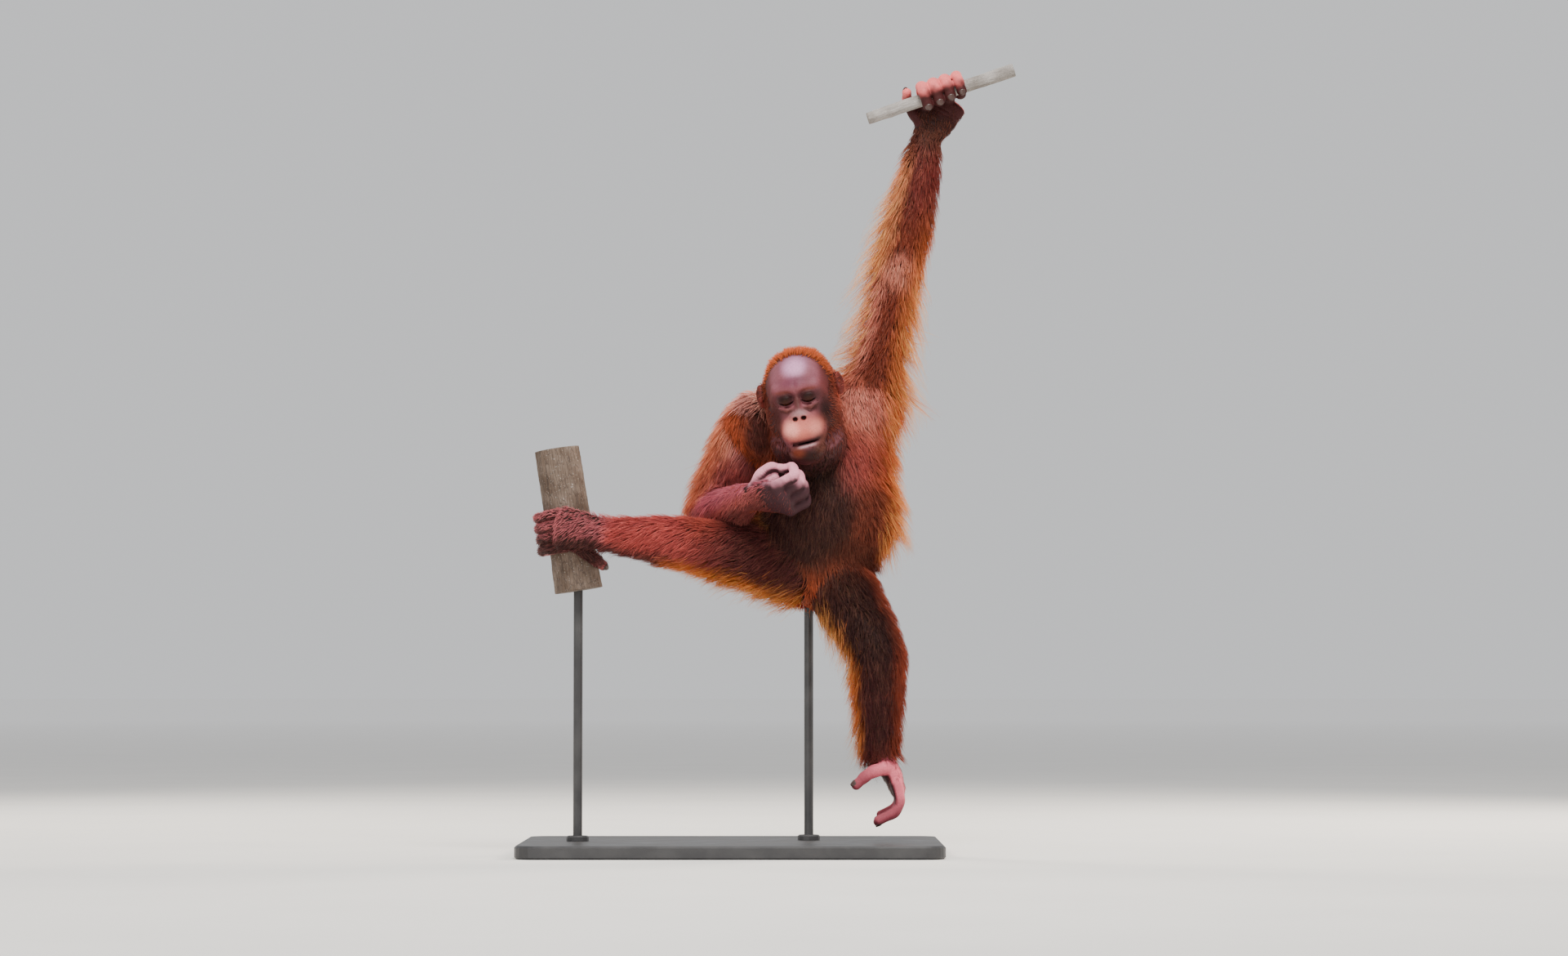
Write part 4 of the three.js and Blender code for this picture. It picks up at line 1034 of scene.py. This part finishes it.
def tufts(name, roots, normals, facts, seed, clump=0.45):
    """One coat piece: a closed, tapering, three-sided tuft from each root."""
    rng = np.random.default_rng(seed)
    path = grown(roots, normals, facts, rng, clump)
    along = np.empty_like(path)
    along[1:-1] = path[2:] - path[:-2]
    along[0], along[-1] = path[1] - path[0], path[-1] - path[-2]
    along = unit(along)
    side = unit(np.cross(along, np.broadcast_to(normals, along.shape)))
    over = np.cross(side, along)
    points = []
    for k, size in enumerate(TAPER):
        half = (facts["width"] * size / 2)[:, None]
        points += [path[k] + side[k] * half, path[k] - side[k] * half, path[k] + over[k] * half * 0.8]
    points.append(path[-1])
    points = np.stack(points, 1)
    count, per = points.shape[:2]
    last = 3 * (len(TAPER) - 1)
    faces = [(0, 1, 2), (last, per - 1, last + 1), (last + 1, per - 1, last + 2), (last + 2, per - 1, last)]
    for a in range(0, last, 3):
        for i in range(3):
            j = (i + 1) % 3
            faces += [(a + i, a + 3 + j, a + j), (a + i, a + 3 + i, a + 3 + j)]
    faces = (np.arange(count)[:, None, None] * per + np.array(faces)[None]).reshape(-1, 3)
    made = new_object(name, points.reshape(-1, 3), faces)
    paint(made, "tint", np.repeat(facts["colour"], per, 0))
    at = [SHARES[k // 3] for k in range(per)]
    paint(made, "along", np.tile(at, count))
    paint(made, "tone", np.repeat(facts["tone"], per))
    place = unwrap(roots, facts["part"], facts["u"], facts["local"])
    offset = [((-1, 1, 0)[k % 3] * PATCH / 2, (at[k] - 0.5) * PATCH) for k in range(per)]
    uv = (place[:, None] + np.array(offset)[None]).reshape(-1, 2)
    layer = made.data.uv_layers.new(name="OFBake")
    layer.data.foreach_set("uv", uv[faces.ravel()].astype(np.float32).ravel())
    dressed(made, HAIR_MATERIAL, "coat")


# ---- Materials


class Nodes:
    """A short way to write a material's nodes."""

    def __init__(self, name):
        self.material = bpy.data.materials.new(name)
        self.material.use_nodes = True
        self.tree = self.material.node_tree
        self.tree.nodes.clear()
        self.out = self.tree.nodes.new("ShaderNodeOutputMaterial")

    def add(self, kind, **fields):
        node = self.tree.nodes.new("ShaderNode" + kind)
        for key, value in fields.items():
            if key in node.inputs:
                self.put(node.inputs[key], value)
            else:
                setattr(node, key, value)
        return node

    def put(self, socket, value):
        if isinstance(value, bpy.types.NodeSocket):
            self.tree.links.new(value, socket)
        elif isinstance(value, np.ndarray):
            socket.default_value = (*value, 1)
        else:
            socket.default_value = value

    def maths(self, operation, a, b):
        node = self.tree.nodes.new("ShaderNodeMath")
        node.operation = operation
        self.put(node.inputs[0], a)
        self.put(node.inputs[1], b)
        return node.outputs[0]

    def mix(self, share, a, b, how="MIX"):
        node = self.tree.nodes.new("ShaderNodeMix")
        node.data_type, node.blend_type, node.clamp_result = "RGBA", how, True
        self.put(node.inputs[0], share)
        self.put(node.inputs[6], a)
        self.put(node.inputs[7], b)
        return node.outputs[2]

    def place(self):
        return self.add("TexCoord").outputs["Object"]

    def noise(self, scale, detail, vector=None):
        node = self.add("TexNoise", Scale=scale, Detail=detail, Roughness=0.55)
        self.put(node.inputs["Vector"], vector if vector is not None else self.place())
        return node.outputs["Fac"]

    def cells(self, scale, vector):
        """How far a place is from the edge of its cell."""
        node = self.add("TexVoronoi", feature="DISTANCE_TO_EDGE", Scale=scale, Vector=vector)
        return node.outputs["Distance"]

    def value(self, name):
        return self.add("Attribute", attribute_name=name).outputs["Fac"]

    def colour(self, name):
        return self.add("Attribute", attribute_name=name).outputs["Color"]

    def stretch(self, x, y, z):
        return self.add("Mapping", Vector=self.place(), Scale=(x, y, z)).outputs[0]

    def ramp(self, value, low, high, first=0.0, last=1.0):
        node = self.add("MapRange")
        for i, v in enumerate((value, low, high, first, last)):
            self.put(node.inputs[i], v)
        return node.outputs[0]

    def bump(self, height, strength, distance):
        return self.add("Bump", Strength=strength, Distance=distance, Height=height).outputs[0]

    def times(self, colour, *factors):
        return self.mix(1.0, colour, np.array(factors), "MULTIPLY")

    def principled(self, colour, roughness, normal=None, **constants):
        """A surface of this colour. Constants are named as their sockets are, with _ for spaces."""
        shader = self.add("BsdfPrincipled", Roughness=roughness)
        self.put(shader.inputs["Base Color"], colour)
        if normal is not None:
            self.put(shader.inputs["Normal"], normal)
        for name, value in constants.items():
            shader.inputs[name.replace("_", " ")].default_value = value
        return shader.outputs[0]

    def surface(self, shader):
        self.tree.links.new(shader, self.out.inputs["Surface"])
        return self.material


def hair_material():
    """Hair darker at its root, with pale and dark tufts, through which light from behind glows."""
    m = Nodes("hair")
    tint, along, tone = m.colour("tint"), m.value("along"), m.value("tone")
    root = m.mix(0.7, tint, srgb(46, 16, 12))
    colour = m.mix(m.ramp(along, 0.0, 0.7), root, tint)
    pale = m.times(m.mix(0.1, tint, srgb(244, 170, 124)), 1.65, 1.65, 1.75)
    dark = m.times(tint, 0.5, 0.45, 0.5)
    colour = m.mix(m.ramp(tone, 0.5, 1.0, 0.0, 0.75), colour, pale)
    colour = m.mix(m.ramp(tone, 0.4, 0.0, 0.0, 0.75), colour, dark)
    colour = m.mix(m.ramp(m.noise(38, 3), 0.42, 0.68, 0.0, 0.35), colour, dark)
    sheen = {"Sheen_Weight": 0.12, "Sheen_Roughness": 0.4, "Sheen_Tint": (1.0, 0.62, 0.42, 1)}
    strand = m.principled(colour, 0.48, Specular_IOR_Level=0.2, **sheen)
    glow = m.add("BsdfTranslucent")
    m.put(glow.inputs["Color"], m.times(m.mix(0.06, colour, srgb(236, 120, 44)), 1.7, 1.35, 1.15))
    both = m.add("MixShader")
    both.inputs[0].default_value = 0.35
    m.tree.links.new(strand, both.inputs[1])
    m.tree.links.new(glow.outputs[0], both.inputs[2])
    return m.surface(both.outputs[0])


def skin_material():
    """Skin with blotches, fine creases and pores; the creases are darkened with painted shade."""
    m = Nodes("skin")
    tint = m.colour("tint")
    fine = m.noise(520, 3)
    blotch = m.ramp(m.noise(55, 5), 0.42, 0.72, 0, 0.4)
    colour = m.mix(blotch, tint, m.mix(0.5, tint, srgb(56, 30, 28)))
    colour = m.mix(m.ramp(fine, 0.45, 0.75, 0, 0.4), colour, m.times(tint, 1.5, 1.55, 1.6))
    # the creases' cells are bent a little, so that they aren't straight
    warp = m.add("VectorMath", operation="ADD")
    m.put(warp.inputs[0], m.stretch(1, 1, 1.6))
    m.put(warp.inputs[1], m.maths("MULTIPLY", m.noise(160, 2), 0.008))
    creases = m.cells(210, warp.outputs[0])
    furrows = m.maths("MULTIPLY", m.ramp(creases, 0, 0.16), 0.9)
    height = m.maths("ADD", furrows, m.maths("MULTIPLY", m.noise(1500, 2), 0.8))
    # painted shade: the skin is darker in its creases
    colour = m.mix(m.ramp(creases, 0.05, 0.0, 0, 0.35), colour, m.mix(0.6, tint, srgb(60, 30, 28)))
    gloss = m.ramp(fine, 0.3, 0.7, 0.42, 0.56)
    bump = m.bump(height, 0.28, 0.0004)
    return m.surface(m.principled(colour, gloss, bump, Specular_IOR_Level=0.12))


def eye_material():
    m = Nodes("eye")
    tint = m.colour("tint")
    colour = m.mix(m.ramp(m.noise(600, 3), 0.4, 0.7, 0, 0.35), tint, srgb(26, 12, 8))
    return m.surface(m.principled(colour, 0.08, Coat_Weight=0.6, Coat_Roughness=0.03))


def nail_material():
    m = Nodes("nail")
    colour = m.mix(m.noise(90, 3, m.stretch(1, 1, 3)), srgb(44, 28, 25), srgb(78, 54, 48))
    return m.surface(m.principled(colour, 0.34))


def bark_material(name, lean, base, light, dark, rough):
    m = Nodes(name)
    turned = m.add("Mapping", Vector=m.place(), Rotation=(0, lean, 0))
    grain = m.add("Mapping", Vector=turned.outputs[0], Scale=(1, 1, 0.16)).outputs[0]
    streaks = m.noise(150, 6, grain)
    patches = m.noise(26, 5)
    specks = m.noise(420, 3)
    cracks = m.cells(240, grain)
    colour = m.mix(m.ramp(patches, 0.36, 0.62), base, light)
    colour = m.mix(m.ramp(streaks, 0.5, 0.7, 0, 0.6), colour, m.mix(0.6, colour, dark))
    # painted shade: the bark is darker in its cracks
    colour = m.mix(m.ramp(cracks, 0.06, 0.0, 0, 0.75 * rough), colour, dark)
    colour = m.mix(m.ramp(specks, 0.62, 0.7, 0, 0.5), colour, m.mix(0.6, colour, srgb(226, 220, 210)))
    height = m.maths("ADD", m.maths("MULTIPLY", m.ramp(cracks, 0, 0.14), rough), streaks)
    return m.surface(m.principled(colour, 0.84, m.bump(height, 0.6, 0.0014)))


def stand_material():
    """Dark matt paint on steel, a little worn."""
    m = Nodes("dark_paint")
    base = srgb(46, 45, 46)
    wear = m.noise(22, 5)
    colour = m.mix(m.ramp(wear, 0.4, 0.75, 0, 0.35), base, m.mix(0.5, base, srgb(120, 118, 116)))
    bump = m.bump(m.noise(900, 2), 0.12, 0.0002)
    return m.surface(m.principled(colour, m.ramp(wear, 0.3, 0.7, 0.36, 0.5), bump))


# ---- The skin, made once; its faces give the roots of the coat

points, faces = make_skin()
skin = new_object("skin", points, faces)
corners = points[faces]
middle = corners.mean(1)
face_normals = np.cross(corners[:, 1] - corners[:, 0], corners[:, 2] - corners[:, 0])
areas = np.linalg.norm(face_normals, axis=1) / 2
vertex_normals = np.zeros_like(points)
for k in range(3):
    np.add.at(vertex_normals, faces[:, k], face_normals)
vertex_normals = unit(vertex_normals)
part, u, lie, depth, L = describe(points, vertex_normals)
bare = bare_share(points, vertex_normals, part, u, L)
paint(skin, "tint", skin_colour(points, vertex_normals, part, u, L, bare))
flesh = [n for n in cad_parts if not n.startswith(("eye_", "perch_", "stand_"))]
dressed(skin, skin_material(), "face_skin", *flesh)

HAIR_MATERIAL = hair_material()
face_bare = bare[faces].mean(1)
face_part = part[faces[:, 0]]
face_u = u[faces[:, 0]]


def scatter(chosen, spacing, seed):
    """Even random spots on the chosen faces, one to each square of side `spacing`."""
    rng = np.random.default_rng(seed)
    weight = areas * chosen
    total = weight.sum()
    count = int(total / spacing**2)
    picks = (np.arange(count) + rng.uniform(0, 1, count)) / count * total
    picks = np.searchsorted(np.cumsum(weight), picks)
    picks = np.minimum(picks, len(weight) - 1)
    a, b = rng.uniform(0, 1, (2, count))
    flip = a + b > 1
    a[flip], b[flip] = 1 - a[flip], 1 - b[flip]
    first, second, third = points[faces[picks]].transpose(1, 0, 2)
    spots = first + a[:, None] * (second - first) + b[:, None] * (third - first)
    return spots, unit(face_normals[picks])


CORE = 13  # the coat's depth, beyond which it is a fringe
SCALE = SPACING / FULL_SPACING


def coat_facts(roots, normals, seed):
    """Size, lie and colour of the tuft at each root. Most are the dense undercoat and the coat
    over it, and the rest are long thin hairs that stand out further and lighter."""
    rng = np.random.default_rng(seed)
    part, u, lie, depth, local = describe(roots, normals)
    count = len(roots)
    kind = rng.uniform(0, 1, count)
    under, wisp = kind < 0.3, kind > 0.8
    rise = rng.uniform(0, 1, count)
    fringe = CORE + (depth - CORE) * rise**1.6
    height = np.where(depth > CORE, fringe, depth * (0.4 + 0.6 * rise))
    height = np.where(under, np.minimum(depth * 0.4, 6), height)
    height = np.where(wisp, depth * (0.8 + 0.3 * rise), height)
    length = np.where(under, 15, 1.15 * height + 15 + 8 * wisp) * rng.uniform(0.8, 1.2, count)
    head = part == HEAD
    length *= np.where(head, 0.62, np.interp(u, [5.2, 6.4, 7.5], [1.0, 0.6, 0.45]))
    length *= np.where(part == NECK, 1 - 0.45 * ramp(roots[:, 1], -20, -60), 1)
    height = np.maximum(height, 1.0)
    width = np.where(under, 2.1, np.where(wisp, 0.65, 1.2)) * rng.uniform(0.75, 1.25, count)
    width *= np.where(head, 0.55, np.where(u > 6, 0.6, 1)) * SCALE * np.interp(height, [14, 40], [1.0, 0.72])
    colour = hair_colour(roots, normals, part, u, local)
    # the long fringe hairs are lighter gold, partly their own lighter tips and partly painted back-light
    # glow
    colour = mix_colour(colour, srgb(255, 176, 92), 0.85 * ramp(height, 15, 36))
    return {
        "part": part,
        "u": u,
        "lie": lie,
        "local": local,
        "height": height,
        "length": length,
        "width": width,
        "colour": colour,
        "loose": np.where(wisp, 0.3, 0.12),
        "droop": np.where(head, 0.0, 0.12),
        "tone": np.clip(rng.normal(0.5, 0.2, count) + 0.25 * wisp - 0.3 * under, 0, 1),
    }


def coat_pieces(P, part):
    """Where each piece of the coat grows."""
    x, y, z = P.T
    trunk = (part == TORSO) | (part == NECK)
    return {
        "coat_torso_front": trunk & (y < 0),
        "coat_back_right": trunk & (y >= 0) & (x < 135),
        "coat_back_left": trunk & (y >= 0) & (x >= 135),
        "coat_head": part == HEAD,
        "coat_upper_arm_left": (part == LEFT_ARM) & (z < 900),
        "coat_forearm_left": (part == LEFT_ARM) & (z >= 900),
        "coat_upper_arm_right": part == RIGHT_UPPER_ARM,
        "coat_forearm_right": part == RIGHT_FOREARM,
        "coat_thigh_right": (part == RIGHT_LEG) & (x > -50),
        "coat_shin_right": (part == RIGHT_LEG) & (x <= -50),
        "coat_thigh_left": (part == LEFT_LEG) & (z > 290),
        "coat_shin_left": (part == LEFT_LEG) & (z <= 290),
    }


hairy = (1 - face_bare) * ((face_u < FINGERS) | (face_part == RIGHT_LEG))
for number, (name, chosen) in enumerate(coat_pieces(middle, face_part).items()):
    spacing = SPACING * (0.72 if name == "coat_head" else 1)
    roots, normals = scatter(chosen * hairy, spacing, 100 + number)
    tufts(name, roots, normals, coat_facts(roots, normals, 300 + number), 400 + number)

# the chin, the cheeks' edges, the hands and the feet carry a few short fine hairs
local = to_head(middle)
beard = ramp(local[:, 2], -66, -78) + 0.6 * ramp(np.abs(local[:, 0]), 30, 40) * ramp(local[:, 2], 5, -15)
fuzz = face_bare * np.where(face_part == HEAD, np.minimum(beard, 1), 0.35) * (face_part >= HEAD)
fuzz *= (face_u < FINGERS) * (1 - ramp(np.abs(local[:, 0]), 53, 56) * (face_part == HEAD))
roots, normals = scatter(fuzz, SPACING * 1.2, 140)
facts = coat_facts(roots, normals, 340)
rng = np.random.default_rng(341)
on_face = facts["part"] == HEAD
facts["length"] = np.where(on_face, 6.5, 9) * rng.uniform(0.5, 1.3, len(roots))
facts["height"] = facts["length"] * np.where(on_face, 0.2, 0.12)
facts["width"] = np.full(len(roots), 0.4) * SCALE
facts["droop"] = np.zeros(len(roots))
facts["colour"] = facts["colour"] * np.where(on_face, 0.35, 0.8)[:, None]
facts["lie"] = np.where(on_face[:, None], facts["lie"] * vec(1, 1, 0.3) + vec(0, 0, -1.1), facts["lie"])
tufts("coat_fuzz", roots, normals, facts, 342, clump=0.0)


# ---- Nails, set on the backs of the ends of the fingers and toes


def nails():
    points, faces = [], []
    across, down, wide = 7, 6, math.asin(0.74)
    row = across + 1
    sheet = row * (down + 1)
    rim = [(i, 0) for i in range(row)] + [(across, j) for j in range(1, down + 1)]
    rim += [(i, down) for i in range(across - 1, -1, -1)] + [(0, j) for j in range(down - 1, 0, -1)]
    rim = [j * row + i for i, j in rim]
    nail = []
    for j in range(down):
        for i in range(across):
            a, b, c, d = j * row + i, j * row + i + 1, (j + 1) * row + i + 1, (j + 1) * row + i
            nail += [(a + sheet, b + sheet, c + sheet, d + sheet), (d, c, b, a)]
    nail += [(a, b, b + sheet, a + sheet) for a, b in zip(rim, rim[1:] + rim[:1])]
    for _, _, spots, radii, flat in DIGITS.values():
        third, before, tip = spots[-3:]
        along = unit(tip - before)
        # the back of the finger is away from the way in which it bends
        back = -(along - unit(before - third))
        back = back - along * (back @ along)
        if np.linalg.norm(back) < 0.05:
            back = np.cross(flat, along)
        back = unit(back)
        side = np.cross(along, back)
        r = radii[-1] * 0.99
        start = len(points)
        for lift in (-1.2, 0.75):
            for j in range(down + 1):
                t = j / down
                for i in range(across + 1):
                    a = (i / across * 2 - 1) * wide
                    edge = (i / across * 2 - 1) ** 2
                    reach = r * 1.25 * (t * (1 - 0.3 * edge) + 0.22 * edge * (1 - t) - 0.3)
                    high = r * math.cos(a) * 0.98 - 0.14 * r * t * t + lift
                    spread = r * math.sin(a) * (1 - 0.18 * t * t)
                    points.append(tip + along * reach + back * high + side * spread)
        faces += [tuple(start + k for k in face) for face in nail]
    made = new_object("nails", np.array(points), faces)
    outward(made)
    dressed(made, nail_material(), "bare_skin")


nails()


# ---- Eyes


def eyeball(side):
    rows, turns = 24, 32
    a = np.repeat(math.pi * np.arange(rows + 1) / rows, turns)
    b = np.tile(2 * math.pi * np.arange(turns) / turns, rows + 1)
    grid = np.stack([np.sin(a) * np.cos(b), -np.cos(a), np.sin(a) * np.sin(b)], 1)
    front = -grid[:, 1]
    bulge = 1 + 0.035 * np.exp(-(((1 - front) / 0.09) ** 2))
    local = grid * EYE_RADIUS * bulge[:, None]
    # the animal looks down
    turn = np.array(Matrix.Rotation(math.radians(26), 3, "X"))
    P = from_head(local @ turn.T + EYE * vec(side, 1, 1))
    name = "left" if side > 0 else "right"
    made = new_object(f"eyeball_{name}", P, ring_faces(rows + 1, turns))
    colour = mix_colour(np.tile(srgb(78, 50, 40), (len(P), 1)), srgb(74, 36, 16), ramp(front, 0.84, 0.88))
    paint(made, "tint", mix_colour(colour, srgb(6, 4, 4), ramp(front, 0.965, 0.975)))
    outward(made, merge=1e-6)
    dressed(made, EYE_MATERIAL, "eye", f"eye_{name}")


EYE_MATERIAL = eye_material()
eyeball(1)
eyeball(-1)

# ---- Perch and stand


def wood(name, node, origin, axis, over, stations, sides, rough, knots, material):
    """A length of branch or stem with rough bark and cut ends, inside its solid."""
    other = np.cross(axis, over)
    reach, offset, radius = np.array(stations, float).T
    t = np.linspace(reach[0], reach[-1], int((reach[-1] - reach[0]) / 2.0))
    turns = np.arange(sides) * 2 * math.pi / sides
    around = np.cos(turns)[:, None] * over + np.sin(turns)[:, None] * other
    centre = origin + axis * t[:, None] + over * np.interp(t, reach, offset)[:, None]
    size = np.interp(t, reach, radius)[:, None]
    drawn_out = np.broadcast_to(0.2 * t[:, None], (len(t), sides))
    flat = np.stack([a.ravel() for a in (size * np.cos(turns), size * np.sin(turns), drawn_out)], 1)
    bumps = noise(flat, 16, 51) * 0.5 + noise(flat, 5, 52) * 0.35 + noise(flat, 2.2, 53) * 0.15
    relief = (bumps * rough - 1.1 * rough).reshape(len(t), sides)
    for at, turn, high, wide in knots:
        gap = np.angle(np.exp(1j * (turns[None] - turn))) * radius[0]
        gap = np.hypot((t[:, None] - at) / wide, gap / wide)
        relief += high * (np.exp(-(gap**2)) - 0.8 * np.exp(-((gap / 0.35) ** 2)))
    rows = list(centre[:, None] + around * (size + relief)[:, :, None])
    for end, first in ((0, True), (-1, False)):
        rim = rows[end]
        middle = rim.mean(0)
        inner = []
        for k, share in enumerate((0.965, 0.86, 0.74, 0.6, 0.45, 0.3, 0.14)):
            sink = 0.5 * math.sin(k * 2.2) + 0.6 * (k > 0)
            inner.append(middle + (rim - middle) * share + axis * sink * (1 if first else -1))
        rows = inner[::-1] + rows if first else rows + inner
    points = np.vstack(rows + [rows[0].mean(0)[None], rows[-1].mean(0)[None]])
    faces = ring_faces(len(rows), sides)
    last = len(rows) * sides
    faces += [((j + 1) % sides, j, last) for j in range(sides)]
    faces += [(last - sides + j, last - sides + (j + 1) % sides, last + 1) for j in range(sides)]
    dressed(new_object(name, points, faces), material, "bark", node)


# along each: place, offset and radius; and of the knots: place, turn, height and width
branch_rows = [(-119.5, -2.5, 9.6), (-60, -0.6, 10.1), (0, 0, 10.5), (60, 0.4, 10.5), (117.5, 1.5, 11)]
branch_knots = [(-84, 2.4, 2.2, 7), (88, 4.6, 1.6, 6)]
branch_tints = srgb(118, 111, 104), srgb(152, 146, 141), srgb(62, 52, 44)
branch_bark = bark_material("branch_bark", LEAN - math.pi / 2, *branch_tints, 0.35)
branch = BRANCH_AT, BRANCH, BRANCH_OVER, branch_rows
wood("bark_branch", "perch_branch", *branch, 48, 0.5, branch_knots, branch_bark)
stem_rows = [(-91.5, 0, 37.4), (-40, 0, 36), (20, 0, 35.6), (127.5, 0, 34.6)]
stem_knots = [(92, 4.4, 2.4, 12), (-62, 5.4, 1.6, 10), (60, 3.6, 1.4, 8)]
stem_tints = srgb(83, 65, 51), srgb(119, 102, 89), srgb(40, 30, 24)
stem_bark = bark_material("stem_bark", STEM_LEAN, *stem_tints, 0.8)
stem = STEM_AT, STEM, STEM_LEFT, stem_rows
wood("bark_stem", "perch_stem", *stem, 110, 1.1, stem_knots, stem_bark)
dark_paint = stand_material()
for name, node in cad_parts.items():
    if name.startswith("stand_"):
        node.data.materials.clear()
        node.data.materials.append(dark_paint)

# ---- Floor, lights and camera


def stage():
    """A wide pale floor, a little lighter far away, so that it meets the background softly."""
    m = Nodes("floor")
    away = m.add("VectorMath", operation="LENGTH")
    m.put(away.inputs[0], m.place())
    near = m.mix(m.noise(3, 3), srgb(214, 212, 208), srgb(224, 222, 218))
    colour = m.mix(m.ramp(away.outputs["Value"], 3, 22), near, srgb(252, 251, 250))
    floor = m.principled(colour, 0.9, Specular_IOR_Level=0.1)
    sides, radii = 64, [1500, 4000, 10000, 26000, 60000]
    turns = np.arange(sides) * 2 * math.pi / sides
    P = [(r * math.cos(a), r * math.sin(a), 0) for r in radii for a in turns] + [(0, 0, 0)]
    faces = [face[::-1] for face in ring_faces(len(radii), sides)]
    faces += [(len(P) - 1, i, (i + 1) % sides) for i in range(sides)]
    made = new_object("floor", np.array(P, float), faces)
    made.data.materials.append(m.surface(floor))


def light(name, at, target, size, power, colour=(1, 1, 1), glossy=True):
    data = bpy.data.lights.new(name, "AREA")
    data.shape, data.size, data.energy, data.color = "DISK", size, power, colour
    lamp = bpy.data.objects.new(name, data)
    bpy.context.scene.collection.objects.link(lamp)
    lamp.location = at
    lamp.visible_glossy = glossy
    lamp.rotation_euler = (Vector(target) - Vector(at)).to_track_quat("-Z", "Y").to_euler()


stage()
light("front", (-0.9, -4.4, 1.5), (0.05, 0, 0.6), 2.4, 55)
light("top", (0.35, -1.9, 3.3), (0.08, 0, 0.66), 1.3, 150, (1, 0.98, 0.95))
light("back_left", (-1.8, 2.0, 2.2), (0.1, 0, 0.7), 1.2, 105, (1, 0.92, 0.82), False)
light("back_right", (2.2, 1.6, 1.8), (0.15, 0, 0.7), 1.2, 135, (1, 0.9, 0.78), False)
world = bpy.data.worlds.new("studio")
bpy.context.scene.world = world
world.use_nodes = True
world.node_tree.nodes["Background"].inputs["Color"].default_value = (0.95, 0.96, 0.98, 1)
world.node_tree.nodes["Background"].inputs["Strength"].default_value = 0.78

lens = bpy.data.cameras.new("camera")
lens.lens, lens.sensor_width = 90, 36
camera = bpy.data.objects.new("camera", lens)
bpy.context.scene.collection.objects.link(camera)
camera.location = (0.08, -6.0, 0.26)
camera.rotation_euler = (Vector((0.08, 0, 0.574)) - camera.location).to_track_quat("-Z", "Y").to_euler()
bpy.context.scene.camera = camera
